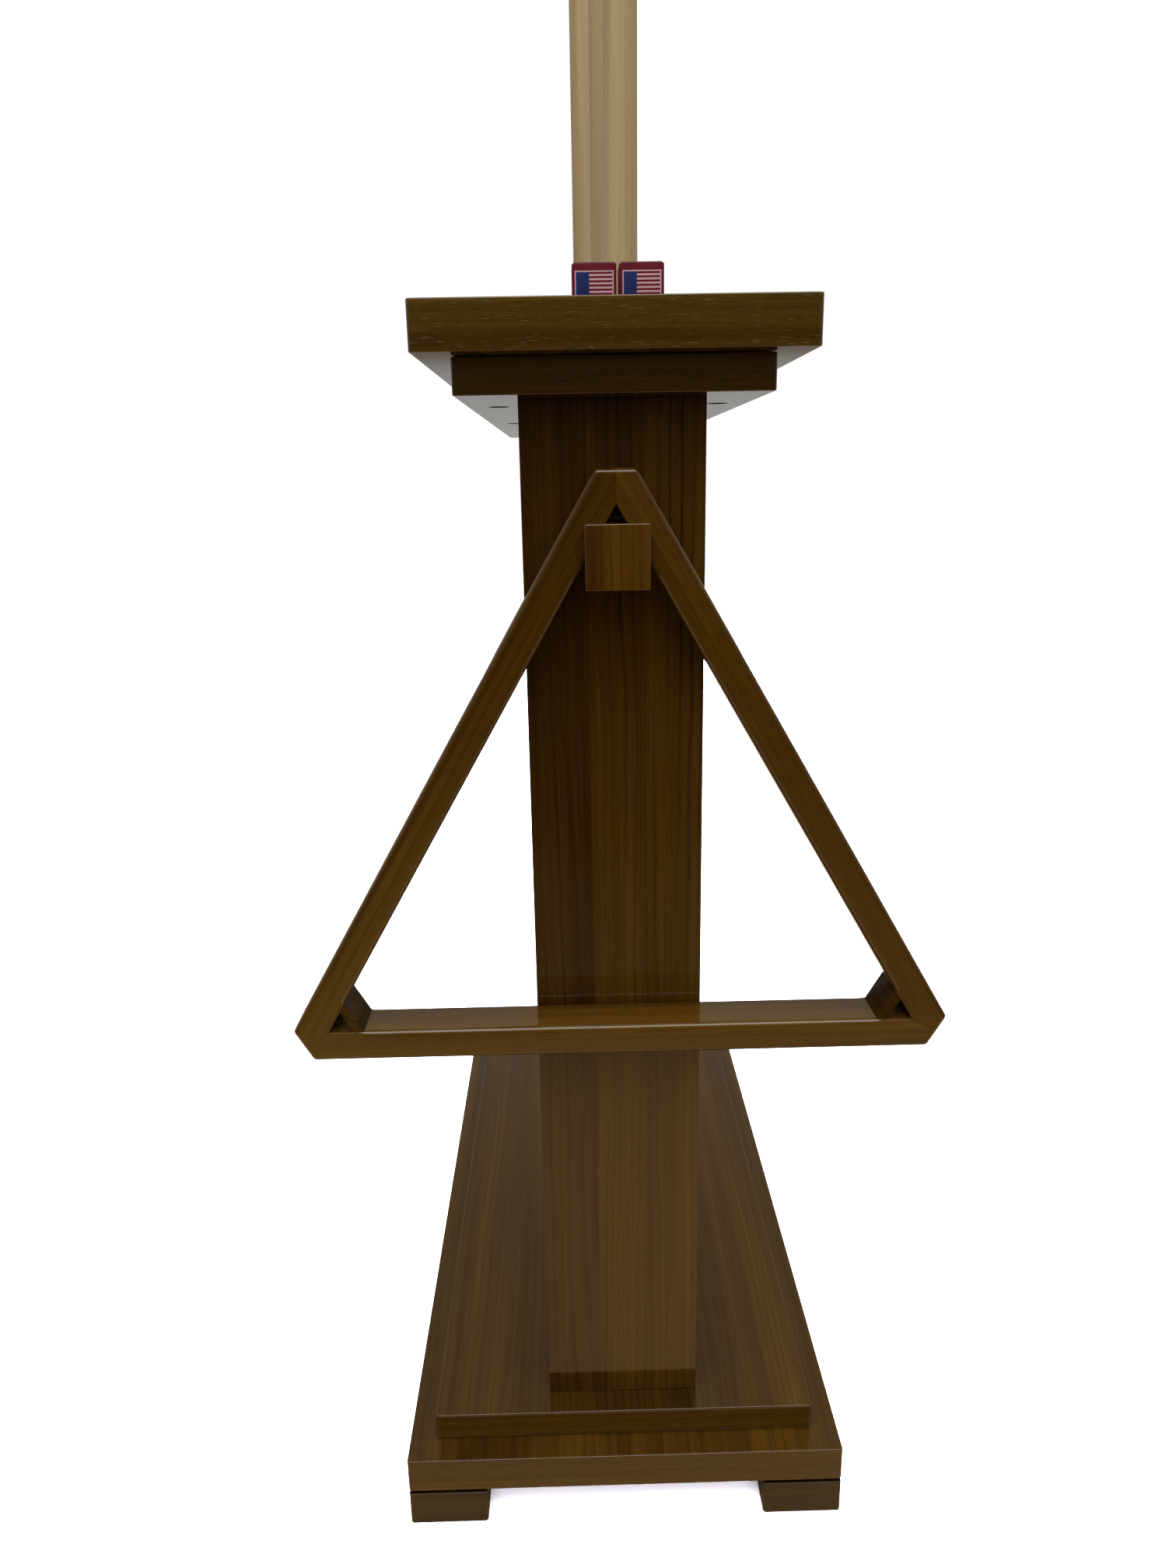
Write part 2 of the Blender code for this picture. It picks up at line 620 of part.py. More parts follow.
def make_cue(number, place, offset, lean):
    y = places()[place - 1]
    pivot = add_empty(f"cue_{number}_pivot", (offset, y, CUE_FOOT), math.atan(lean))
    shaft_top = CUE_LENGTH - FERRULE_LENGTH - TIP_LENGTH
    foot = CUE_BUTT_RADIUS - BUMPER_INSET

    bm = bmesh.new()
    turned(bm, [(0.0, 0.0), (foot - BUMPER_ROUND, 0.0),
                (foot - 0.25 * BUMPER_ROUND, 0.35 * BUMPER_ROUND), (foot, 1.25 * BUMPER_ROUND),
                (foot, BUMPER_HEIGHT - GAP), (0.0, BUMPER_HEIGHT - GAP)])
    add_object(f"cue_{number}_bumper", bm, BLACK_RUBBER, pivot, smooth=True)

    bm = bmesh.new()
    body = tapered(BUMPER_HEIGHT + BUTT_EASE, BUTT_TOP, 4)
    turned(bm, [(0.0, BUMPER_HEIGHT), (body[0][0] - BUTT_EASE / 2, BUMPER_HEIGHT), *body,
                (0.0, BUTT_TOP)])
    add_object(f"cue_{number}_butt", bm, STAINED_WOOD, pivot, smooth=True)

    bm = bmesh.new()
    body = tapered(BUTT_TOP + GAP, shaft_top, 8)
    turned(bm, [(0.0, BUTT_TOP + GAP), *body, (0.0, shaft_top)])
    add_object(f"cue_{number}_shaft", bm, MAPLE, pivot, smooth=True)

    bm = bmesh.new()
    body = tapered(shaft_top + GAP, CUE_LENGTH - TIP_LENGTH - GAP, 1)
    turned(bm, [(0.0, shaft_top + GAP), *body, (0.0, CUE_LENGTH - TIP_LENGTH - GAP)])
    add_object(f"cue_{number}_ferrule", bm, FERRULE_WHITE, pivot, smooth=True)

    bm = bmesh.new()
    base = CUE_LENGTH - TIP_LENGTH
    radius = cue_radius(base)
    turned(bm, [(0.0, base), (radius, base), (radius, base + 0.5 * TIP_LENGTH),
                (radius * 0.85, base + 0.75 * TIP_LENGTH), (radius * 0.5, base + 0.93 * TIP_LENGTH),
                (0.0, CUE_LENGTH)])
    add_object(f"cue_{number}_tip", bm, TIP_LEATHER, pivot, smooth=True)


def make_chalk(number, x):
    front = -TOP_LENGTH / 2 + CHALK_FRONT
    pivot = add_empty(f"chalk_{number}_pivot", (x, front + CHALK_SIDE / 2, TOP_TOP + GAP))
    half = CHALK_SIDE / 2

    bm = bmesh.new()
    inner = half - CHALK_WRAP
    height = CHALK_SIDE - CHALK_BARE
    layers = []
    for level in (0.0, height):
        layers.append([[bm.verts.new((sx * size, sy * size, level))
                        for sx, sy in ((-1, -1), (1, -1), (1, 1), (-1, 1))]
                       for size in (half, inner)])
    (outer_low, inner_low), (outer_high, inner_high) = layers
    for step in range(4):
        after = (step + 1) % 4
        for first, second in ((outer_low, inner_low), (inner_low, inner_high),
                              (inner_high, outer_high), (outer_high, outer_low)):
            bm.faces.new((first[step], first[after], second[after], second[step]))
    add_object(f"chalk_{number}_wrapper", bm, WRAPPER, pivot)

    bm = bmesh.new()
    side = 2 * (inner - GAP)
    box(bm, (0.0, 0.0, CHALK_SIDE / 2), (side, side, CHALK_SIDE))
    block = add_object(f"chalk_{number}_block", bm, CHALK_BODY, pivot)
    add_bevel(block, CHALK_EASE, 1)
    bm = bmesh.new()
    turned(bm, [(0.0, CHALK_SIDE - DISH_DEPTH), (DISH_RADIUS * 0.55, CHALK_SIDE - DISH_DEPTH * 0.75),
                (DISH_RADIUS, CHALK_SIDE + PAST / 10), (DISH_RADIUS, CHALK_SIDE + PAST),
                (0.0, CHALK_SIDE + PAST)])
    cut(block, bm)
    block.modifiers["holes"].object.parent = pivot


def main():
    clear_scene()
    make_feet()
    make_base()
    make_posts()
    make_top()
    make_peg()
    make_triangle()
    for number, (place, offset, lean) in enumerate(CUES, start=1):
        make_cue(number, place, offset, lean)
    for number, x in enumerate(CHALK_CENTRES, start=1):
        make_chalk(number, x)


main()
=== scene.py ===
"""Looks of the billiard cue stand: finished boards, cues, ball triangle and chalk, and the studio."""
import math

import bmesh
import bpy
from mathutils import Matrix, Vector


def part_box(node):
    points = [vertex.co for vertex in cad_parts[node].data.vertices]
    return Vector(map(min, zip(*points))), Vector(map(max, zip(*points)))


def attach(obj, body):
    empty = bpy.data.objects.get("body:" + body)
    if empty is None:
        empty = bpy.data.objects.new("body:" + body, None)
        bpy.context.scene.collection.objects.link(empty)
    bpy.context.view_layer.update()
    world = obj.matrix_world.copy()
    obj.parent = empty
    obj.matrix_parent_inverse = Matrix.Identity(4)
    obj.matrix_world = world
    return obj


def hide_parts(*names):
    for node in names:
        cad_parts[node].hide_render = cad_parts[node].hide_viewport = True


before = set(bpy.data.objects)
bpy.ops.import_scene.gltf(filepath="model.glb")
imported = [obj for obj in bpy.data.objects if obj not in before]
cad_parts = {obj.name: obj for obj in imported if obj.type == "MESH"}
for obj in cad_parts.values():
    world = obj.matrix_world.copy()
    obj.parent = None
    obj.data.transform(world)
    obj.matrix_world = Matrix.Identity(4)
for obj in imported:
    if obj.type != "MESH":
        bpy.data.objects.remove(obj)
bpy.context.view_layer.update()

X, Y, Z = 0, 1, 2

# ---------------------------------------------------------------- driving sizes, in metres
PLACE_COUNT = 6
PLACE_PITCH = 0.078
HOLE_RADIUS = 0.0215
HOLE_RIM = 0.002              # rounding of a through hole's rim
PAST = 0.003                  # how far a cutter reaches past the wood
RECESS_RIM = 0.001
RECESS_DEPTH = 0.007          # of the cues' places in the step board
EDGE_SCREW_X = 0.061          # screws that hold the top board from below
EDGE_SCREW_Y = (-0.190, 0.0, 0.190)
COUNTERBORE_RADIUS = 0.0061
EDGE_COUNTERBORE = 0.008
FOOT_COUNTERBORE = 0.010
PLINTH_COUNTERBORE = 0.012
POST_SCREW_X = 0.028
BOARD_EASE = 0.0008           # rounding of the boards' edges
BOARD_CORNER = 0.002          # radius of their standing corners
TOP_CORNER = 0.003
FOOT_EASE = 0.0005
POST_EASE = 0.0003
POST_RISE = 0.00026           # closes the gap over a post, where light would leak through
DOWEL_EASE = 0.0008
CHALK_EASE = 0.0007
PLAIN_ANGLE = 35.0            # edges sharper than this, in degrees, stay sharp
BAR_ANGLE = 40.0              # the same for bars and paper
TURNED_ANGLE = 50.0           # and for turned pieces
FACING = 0.7                  # how squarely a face looks along an axis to count as facing it

# ---------------------------------------------------------------- wood tones, and painted shade on the step board
# Each zone is (place across the board in metres, tone).
POST_SEAMS = (-0.014, 0.015)  # where the posts' veneer is joined
POST_ZONES = ((-0.048, 0.90), (-0.0145, 0.88), (-0.0135, 1.02), (0.0145, 1.03), (0.0155, 1.00),
              (0.048, 0.98))
# On the step board the dark zones from -0.055 to 0.066 are painted shade where the posts stand; the light
# bands to the sides are the wood's own tone.
STEP_TONES_AND_SHADE = ((-0.120, 0.85), (-0.105, 1.10), (-0.078, 1.00), (-0.055, 0.72), (-0.030, 0.60),
              (0.045, 0.50), (0.066, 0.62), (0.080, 1.12), (0.100, 1.15), (0.120, 0.90))

# ---------------------------------------------------------------- camera
SENSOR = 36.0                 # the frame's long side, in millimetres
LENS = 25.0
CAMERA_PLACE = (-0.0238, -0.8330, 0.6485)
CAMERA_PITCH = 0.2736         # down, in radians
CAMERA_YAW = 0.0136           # to the right
CAMERA_ROLL = -0.0178


def add_camera():
    data = bpy.data.cameras.new("camera")
    data.sensor_fit = "AUTO"
    data.sensor_width = SENSOR
    data.lens = LENS
    data.clip_start = 0.01
    data.clip_end = 60.0
    camera = bpy.data.objects.new("camera", data)
    turn = (Matrix.Rotation(-CAMERA_YAW, 4, "Z") @ Matrix.Rotation(math.pi / 2 - CAMERA_PITCH, 4, "X")
            @ Matrix.Rotation(CAMERA_ROLL, 4, "Z"))
    camera.matrix_world = Matrix.Translation(CAMERA_PLACE) @ turn
    bpy.context.scene.collection.objects.link(camera)
    bpy.context.scene.camera = camera


# ---------------------------------------------------------------- node helpers
class Graph:
    """Short calls for building a node tree."""

    def __init__(self, tree):
        self.tree = tree

    def node(self, kind, **values):
        made = self.tree.nodes.new(kind)
        for key, value in values.items():
            setattr(made, key, value)
        return made

    def link(self, source, target):
        self.tree.links.new(source, target)

    def math(self, operation, *values):
        made = self.node("ShaderNodeMath", operation=operation)
        for socket, value in zip(made.inputs, values):
            if isinstance(value, (int, float)):
                socket.default_value = value
            else:
                self.link(value, socket)
        return made.outputs[0]

    def split(self, vector):
        """The three parts of a vector."""
        made = self.node("ShaderNodeSeparateXYZ")
        self.link(vector, made.inputs[0])
        return made.outputs

    def ramp(self, factor, stops):
        made = self.node("ShaderNodeValToRGB")
        elements = made.color_ramp.elements
        while len(elements) < len(stops):
            elements.new(0.5)
        for element, (place, colour) in zip(elements, stops):
            element.position = place
            element.color = (*colour, 1.0)
        self.link(factor, made.inputs["Fac"])
        return made.outputs["Color"]

    def grey_ramp(self, factor, stops):
        return self.ramp(factor, [(place, (value,) * 3) for place, value in stops])

    def mix(self, factor, first, second, blend="MIX"):
        made = self.node("ShaderNodeMix", data_type="RGBA", blend_type=blend)
        for socket, value in ((made.inputs["Factor"], factor), (made.inputs[6], first),
                              (made.inputs[7], second)):
            if isinstance(value, (int, float)):
                socket.default_value = value
            elif isinstance(value, tuple):
                socket.default_value = (*value, 1.0)
            else:
                self.link(value, socket)
        return made.outputs[2]

    def noise(self, vector, scale, detail, roughness):
        made = self.node("ShaderNodeTexNoise")
        made.inputs["Scale"].default_value = scale
        made.inputs["Detail"].default_value = detail
        made.inputs["Roughness"].default_value = roughness
        self.link(vector, made.inputs["Vector"])
        return made.outputs["Fac"]

    def grained(self, grain, stretch, detail, roughness, location=(0, 0, 0)):
        """Noise with stretch repeats a metre along each axis."""
        return self.noise(self.mapping(grain, scale=stretch, location=location), 1.0, detail, roughness)

    def mapping(self, vector, scale=(1, 1, 1), location=(0, 0, 0), rotation=(0, 0, 0)):
        made = self.node("ShaderNodeMapping")
        made.inputs["Scale"].default_value = scale
        made.inputs["Location"].default_value = location
        made.inputs["Rotation"].default_value = rotation
        self.link(vector, made.inputs["Vector"])
        return made.outputs["Vector"]

    def bump(self, height, strength, distance):
        made = self.node("ShaderNodeBump")
        made.inputs["Strength"].default_value = strength
        made.inputs["Distance"].default_value = distance
        self.link(height, made.inputs["Height"])
        return made.outputs["Normal"]


def new_material(name):
    """A material with a clean tree: returns it, its graph and its Principled shader."""
    material = bpy.data.materials.new(name)
    material.use_nodes = True
    tree = material.node_tree
    return material, Graph(tree), tree.nodes["Principled BSDF"]


# ---------------------------------------------------------------- wood
def grain_space(graph, axis, edge_veneer, offset, turn):
    """Coordinates whose X runs along the grain. With edge_veneer there is also a mask of the faces
    that look along axis, and on them the grain runs along X. turn leans it in the XZ plane."""
    place = graph.node("ShaderNodeTexCoord")
    vector = place.outputs["Object"]
    if turn:
        vector = graph.mapping(vector, rotation=(0.0, turn, 0.0))
    parts = graph.split(vector)
    order = {X: (X, Y, Z), Y: (Y, X, Z), Z: (Z, X, Y)}

    def combined(along):
        made = graph.node("ShaderNodeCombineXYZ")
        for socket, part in zip(made.inputs, order[along]):
            graph.link(parts[part], socket)
        return made.outputs[0]

    result = combined(axis)
    mask = None
    if edge_veneer:
        share = graph.math("ABSOLUTE", graph.split(place.outputs["Normal"])[axis])
        mask = graph.math("GREATER_THAN", share, FACING)
        blend = graph.node("ShaderNodeMix", data_type="VECTOR")
        graph.link(mask, blend.inputs["Factor"])
        graph.link(result, blend.inputs[4])
        graph.link(combined(X), blend.inputs[5])
        result = blend.outputs[1]
    return graph.mapping(result, location=offset), mask


FLITCH_SHIFT = (0.37, 0.061, 0.061)   # along the grain and across it, in metres


def flitches(graph, grain, seams):
    """Jump to another part of the wood past each seam across the grain, as in joined veneer."""
    across = graph.split(grain)[Y]
    count = 0.0
    for seam in seams:
        count = graph.math("ADD", count, graph.math("GREATER_THAN", across, seam))
    made = graph.node("ShaderNodeVectorMath", operation="MULTIPLY_ADD")
    graph.link(count, made.inputs[0])
    made.inputs[1].default_value = FLITCH_SHIFT
    graph.link(grain, made.inputs[2])
    return made.outputs[0]


SWAY = 0.026                  # how far the growth lines wander over a board, in metres
WAVER = 0.0034                # and within a hand's width
UNEVEN = 2.4                  # how unevenly the years follow each other, in lines
FINE_LINES = 2.37             # finer lines to each growth line


def growth_lines(graph, grain, spacing, tilt):
    """0 to 1: dark lines along the grain, one for each year's growth, with finer ones between."""
    sway = graph.grained(grain, (1.6, 11, 11), 2.0, 0.45)
    waver = graph.grained(grain, (14, 60, 60), 2.0, 0.5)
    uneven = graph.grained(grain, (0.4, 60, 60), 1.0, 0.5)
    parts = graph.split(grain)
    place = graph.math("ADD", graph.math("MULTIPLY", parts[Y], math.cos(tilt) / spacing),
                       graph.math("MULTIPLY", parts[Z], math.sin(tilt) / spacing))
    for noise, reach in ((sway, SWAY / spacing), (waver, WAVER / spacing), (uneven, UNEVEN)):
        place = graph.math("ADD", place, graph.math("MULTIPLY", noise, reach))
    line = graph.grey_ramp(graph.math("FRACT", place), [(0.0, 0.85), (0.07, 0.10), (0.45, 0.0),
                                                        (0.74, 0.30), (0.90, 1.0), (1.0, 0.95)])
    fine = graph.grey_ramp(graph.math("FRACT", graph.math("MULTIPLY", place, FINE_LINES)),
                           [(0.0, 0.3), (0.12, 0.0), (0.70, 0.1), (0.90, 1.0), (1.0, 0.5)])
    strength = graph.grained(grain, (2.6, 34, 34), 2.0, 0.5, (5.1, 2.3, 0.4))
    strong = graph.math("MULTIPLY", line, graph.grey_ramp(strength, [(0.38, 0.30), (0.56, 1.0)]))
    weak = graph.math("MULTIPLY", fine, graph.grey_ramp(strength, [(0.40, 0.40), (0.66, 0.10)]))
    return graph.math("MAXIMUM", strong, weak)


def zone_tones(graph, zones, wander, grain_offset, grain):
    """A tone across the board, which on the step board is partly painted shade: zones is a list of
    (place across in metres, tone), and wander is how far their edges stray, in metres."""
    drift = graph.grained(grain, (3.0, 12, 12), 2.0, 0.5)
    reach = max(abs(place) for place, tone in zones)
    spot = graph.math("SUBTRACT", graph.split(grain)[Y], grain_offset + wander / 2)
    spot = graph.math("ADD", spot, graph.math("MULTIPLY", drift, wander))
    share = graph.math("MULTIPLY_ADD", spot, 0.5 / reach, 0.5)
    stops = [(0.5 + 0.5 * place / reach, tone / 2) for place, tone in zones]
    return graph.math("MULTIPLY", graph.grey_ramp(share, stops), 2.0)


WOOD_DARK = (0.0185, 0.0070, 0.0006)
WOOD_SHADE = (0.040, 0.0165, 0.0016)
WOOD_MIDDLE = (0.066, 0.0315, 0.0028)
WOOD_LIGHT = (0.098, 0.0520, 0.0070)
PAINTED_GLINT_COLOUR = (0.20, 0.14, 0.065)
PAINTED_GLINT_STRENGTH = 0.12             # strength of the painted glints, pale flecks in the colour
WARMER = (1.02, 0.95, 0.65)
OLIVE = (1.0, 1.16, 1.5)


def walnut(name, axis, offset, edge_veneer=False, turn=0.0, tone=1.0, tint=(1.0, 1.0, 1.0),
           spacing=0.0052, tilt=0.6, lines=0.62, seams=(), zones=None, wander=0.012, gloss=1.0):
    """Straight-grained walnut, stained a warm brown, under a satin lacquer. offset picks the part
    of the wood, spacing, tilt and lines are those of the growth lines, and gloss is the lacquer's
    strength."""
    material, graph, shader = new_material(name)
    board_grain, edge = grain_space(graph, axis, edge_veneer, offset, turn)
    grain = board_grain
    if seams:
        grain = flitches(graph, grain, [seam + offset[1] for seam in seams])

    def toned(colour):
        return tuple(channel * tone * shift for channel, shift in zip(colour, tint))

    def on_edges(elsewhere, there):
        return elsewhere if edge is None else graph.math("MULTIPLY_ADD", edge, there - elsewhere,
                                                         elsewhere)

    broad = graph.grained(grain, (0.9, 24, 24), 2.0, 0.5)
    bands = graph.grained(grain, (2.0, 85, 85), 1.0, 0.5)
    streaks = graph.grained(grain, (5, 330, 330), 4.0, 0.65)
    fibres = graph.grained(grain, (34, 1700, 1700), 2.0, 0.6)
    pores = graph.grained(grain, (80, 1250, 1250), 2.0, 0.55, (3.1, 0.7, 1.9))
    glints = graph.grained(grain, (130, 2300, 2300), 1.0, 0.5, (0.7, 4.2, 2.6))
    years = growth_lines(graph, grain, spacing, tilt)

    mixed = graph.math("ADD", graph.math("MULTIPLY", broad, 0.50), graph.math("MULTIPLY", bands, 0.28))
    mixed = graph.math("ADD", mixed, graph.math("MULTIPLY", streaks, 0.22))
    colour = graph.ramp(mixed, [(0.39, toned(WOOD_SHADE)), (0.50, toned(WOOD_MIDDLE)),
                                (0.60, toned(WOOD_LIGHT))])
    colour = graph.mix(graph.math("MULTIPLY", years, on_edges(lines, 0.4 * lines)), colour,
                       toned(WOOD_DARK))
    hairs = graph.grey_ramp(fibres, [(0.38, 1.0), (0.58, 0.0)])
    colour = graph.mix(graph.math("MULTIPLY", hairs, 0.16), colour, toned(WOOD_DARK))
    pits = graph.grey_ramp(pores, [(0.60, 0.0), (0.70, 1.0)])
    colour = graph.mix(graph.math("MULTIPLY", pits, on_edges(0.30, 0.45)), colour, toned(WOOD_DARK))
    # Painted glints: pale flecks mixed into the colour, three times as strong on the edge faces.
    bright = graph.grey_ramp(glints, [(0.66, 0.0), (0.73, 1.0)])
    colour = graph.mix(graph.math("MULTIPLY", bright, on_edges(PAINTED_GLINT_STRENGTH, 3.0 * PAINTED_GLINT_STRENGTH)), colour,
                       toned(PAINTED_GLINT_COLOUR))
    if zones:
        colour = graph.mix(1.0, colour, zone_tones(graph, zones, wander, offset[1], board_grain),
                           "MULTIPLY")
    graph.link(colour, shader.inputs["Base Color"])

    polish = graph.grained(grain, (6, 14, 14), 3.0, 0.6)
    rough = graph.math("MULTIPLY_ADD", polish, 0.12, 0.44)
    graph.link(graph.math("ADD", rough, graph.math("MULTIPLY", pits, 0.12)), shader.inputs["Roughness"])

    relief = graph.math("SUBTRACT", graph.math("MULTIPLY", fibres, 0.35), pits)
    graph.link(graph.bump(relief, 0.16, 0.00005), shader.inputs["Normal"])
    shader.inputs["Specular IOR Level"].default_value = 0.03
    shader.inputs["Coat Weight"].default_value = gloss
    shader.inputs["Coat Roughness"].default_value = 0.07
    shader.inputs["Coat IOR"].default_value = 1.7
    return material


# ---------------------------------------------------------------- mesh helpers
def box_of(node):
    low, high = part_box(node)
    return Vector(low), Vector(high)


def add_mesh(name, bm, material, angle=PLAIN_ANGLE):
    bmesh.ops.recalc_face_normals(bm, faces=bm.faces)
    mesh = bpy.data.meshes.new(name)
    bm.to_mesh(mesh)
    bm.free()
    mesh.shade_smooth()
    mesh.set_sharp_from_angle(angle=math.radians(angle))
    mesh.materials.append(material)
    piece = bpy.data.objects.new(name, mesh)
    bpy.context.scene.collection.objects.link(piece)
    return piece


def flat_faces_stay_flat(piece):
    weighted = piece.modifiers.new("face normals", "WEIGHTED_NORMAL")
    weighted.keep_sharp = True
    weighted.weight = 90


def turned(bm, profile, base=(0.0, 0.0, 0.0), segments=48):
    """Turn (radius, height) points about Z. Ends on the axis close the shape."""
    rings = []
    for radius, height in profile:
        if radius == 0.0:
            rings.append([bm.verts.new((base[0], base[1], base[2] + height))])
            continue
        rings.append([bm.verts.new((base[0] + radius * math.cos(2 * math.pi * step / segments),
                                    base[1] + radius * math.sin(2 * math.pi * step / segments),
                                    base[2] + height)) for step in range(segments)])
    for lower, upper in zip(rings, rings[1:]):
        for step in range(segments):
            after = (step + 1) % segments
            ring = [lower[step % len(lower)], lower[after % len(lower)],
                    upper[after % len(upper)], upper[step % len(upper)]]
            bm.faces.new(list(dict.fromkeys(ring)))


def cut(piece, bm):
    """Subtract the closed shapes in bm and apply the cut."""
    bmesh.ops.recalc_face_normals(bm, faces=bm.faces)
    mesh = bpy.data.meshes.new("cutter")
    bm.to_mesh(mesh)
    bm.free()
    cutter = bpy.data.objects.new("cutter", mesh)
    bpy.context.scene.collection.objects.link(cutter)
    boolean = piece.modifiers.new("cut", "BOOLEAN")
    boolean.operation = "DIFFERENCE"
    boolean.solver = "EXACT"
    boolean.object = cutter
    graph = bpy.context.evaluated_depsgraph_get()
    cut_mesh = bpy.data.meshes.new_from_object(piece.evaluated_get(graph))
    piece.modifiers.clear()
    piece.data = cut_mesh
    bpy.data.objects.remove(cutter, do_unlink=True)


def rounded_box(bm, low, high, ease, upright):
    """A block with rounded edges; its standing corners have the radius upright."""
    size = high - low
    matrix = Matrix.Translation((low + high) / 2) @ Matrix.Diagonal((*size, 1.0))
    bmesh.ops.create_cube(bm, size=1.0, matrix=matrix)
    if upright > ease:
        standing = [edge for edge in bm.edges
                    if abs(edge.verts[0].co.z - edge.verts[1].co.z) > size.z / 2]
        bmesh.ops.bevel(bm, geom=standing, offset=upright, segments=4, affect="EDGES", profile=0.5)
    sharp = [edge for edge in bm.edges if edge.calc_face_angle(0.0) > math.radians(40)]
    bmesh.ops.bevel(bm, geom=sharp, offset=ease, segments=3, affect="EDGES", profile=0.5)


def board(node, material, ease, upright=0.0, cutter=None, raised=0.0):
    """The finished board that stands for a CAD board. raised lifts its top face."""
    low, high = box_of(node)
    high.z += raised
    bm = bmesh.new()
    rounded_box(bm, low, high, ease, upright)
    piece = add_mesh(node + "_finished", bm, material)
    if cutter is not None:
        cut(piece, cutter)
        piece.data.shade_smooth()
        piece.data.set_sharp_from_angle(angle=math.radians(PLAIN_ANGLE))
    flat_faces_stay_flat(piece)
    return piece


def stand_for(piece, node, body):
    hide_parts(node)
    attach(piece, body)


# ---------------------------------------------------------------- other materials
def maple(name, offset, points_from, axis_at):
    """Pale, fine-grained maple under gloss lacquer, with dark points from height points_from."""
    material, graph, shader = new_material(name)
    local = cue_space(graph, axis_at)
    grain = graph.mapping(local, location=offset)
    lines = graph.grained(grain, (210, 210, 2.0), 4.0, 0.6)
    broad = graph.grained(grain, (60, 60, 1.2), 2.0, 0.5)
    flecks = graph.grained(grain, (900, 900, 90), 2.0, 0.5)
    colour = graph.ramp(lines, [(0.30, (0.37, 0.265, 0.135)), (0.50, (0.46, 0.355, 0.195)),
                                (0.70, (0.54, 0.430, 0.255))])
    for noise, start, full, strength, shade in ((broad, 0.45, 0.75, 0.45, (0.33, 0.24, 0.120)),
                                                (flecks, 0.62, 0.72, 0.35, (0.28, 0.195, 0.095))):
        spots = graph.grey_ramp(noise, [(start, 0.0), (full, 1.0)])
        colour = graph.mix(graph.math("MULTIPLY", spots, strength), colour, shade)
    colour = spliced_points(graph, local, points_from, colour)
    graph.link(colour, shader.inputs["Base Color"])
    graph.link(graph.math("MULTIPLY_ADD", flecks, 0.14, 0.24), shader.inputs["Roughness"])
    graph.link(graph.bump(flecks, 0.10, 0.00005), shader.inputs["Normal"])
    shader.inputs["Coat Weight"].default_value = 0.5
    shader.inputs["Coat Roughness"].default_value = 0.12
    shader.inputs["Coat IOR"].default_value = 1.45
    return material


def cue_space(graph, axis_at):
    """Coordinates about a cue's own axis: axis_at is (x, y, z of its foot, lean as a slope)."""
    x, y, z, lean = axis_at
    place = graph.node("ShaderNodeTexCoord")
    parts = graph.split(graph.mapping(place.outputs["Object"], location=(-x, -y, -z)))
    made = graph.node("ShaderNodeCombineXYZ")
    graph.link(graph.math("ADD", parts[X], graph.math("MULTIPLY", parts[Z], -lean)), made.inputs[X])
    graph.link(parts[Y], made.inputs[Y])
    graph.link(parts[Z], made.inputs[Z])
    return made.outputs[0]


POINT_COUNT = 4
POINT_LENGTH = 0.230
POINT_LAYERS = ((0.0, (0.62, 0.50, 0.30)), (0.011, (0.30, 0.035, 0.02)),
                (0.022, (0.020, 0.010, 0.007)))   # (metres below the outline, colour)
RINGS = ((0.092, 0.0012, (0.30, 0.03, 0.02)), (0.098, 0.0030, (0.66, 0.60, 0.46)),
         (0.104, 0.0012, (0.30, 0.03, 0.02)))     # (height, width, colour)


def spliced_points(graph, local, base, colour):
    """Four long dark points with a thin pale and a thin red veneer, rising from height base."""
    parts = graph.split(local)
    angle = graph.math("ARCTAN2", parts[Y], parts[X])
    turns = graph.math("MULTIPLY", angle, POINT_COUNT / (2 * math.pi))
    inside = graph.math("PINGPONG", turns, 0.5)
    share = graph.math("MULTIPLY", inside, 2.0)
    rise = graph.math("MULTIPLY", share, POINT_LENGTH)
    above = graph.math("SUBTRACT", graph.math("ADD", rise, base), parts[Z])
    for reach, shade in POINT_LAYERS:
        colour = graph.mix(graph.math("GREATER_THAN", above, reach), colour, shade)
    return colour


def stained(name, offset, axis_at):
    """Dark stained butt with a pale ring between two thin red ones."""
    material, graph, shader = new_material(name)
    local = cue_space(graph, axis_at)
    grain = graph.mapping(local, location=offset)
    lines = graph.grained(grain, (260, 260, 4), 4.0, 0.65)
    pores = graph.grained(grain, (1100, 1100, 60), 2.0, 0.5)
    colour = graph.ramp(lines, [(0.30, (0.010, 0.005, 0.004)), (0.55, (0.030, 0.012, 0.008)),
                                (0.75, (0.060, 0.022, 0.013))])
    up = graph.split(local)[Z]
    for height, width, shade in RINGS:
        colour = graph.mix(graph.math("COMPARE", up, height, width / 2), colour, shade)
    graph.link(colour, shader.inputs["Base Color"])
    graph.link(graph.math("MULTIPLY_ADD", pores, 0.16, 0.20), shader.inputs["Roughness"])
    graph.link(graph.bump(pores, 0.08, 0.00005), shader.inputs["Normal"])
    shader.inputs["Coat Weight"].default_value = 0.6
    shader.inputs["Coat Roughness"].default_value = 0.10
    return material


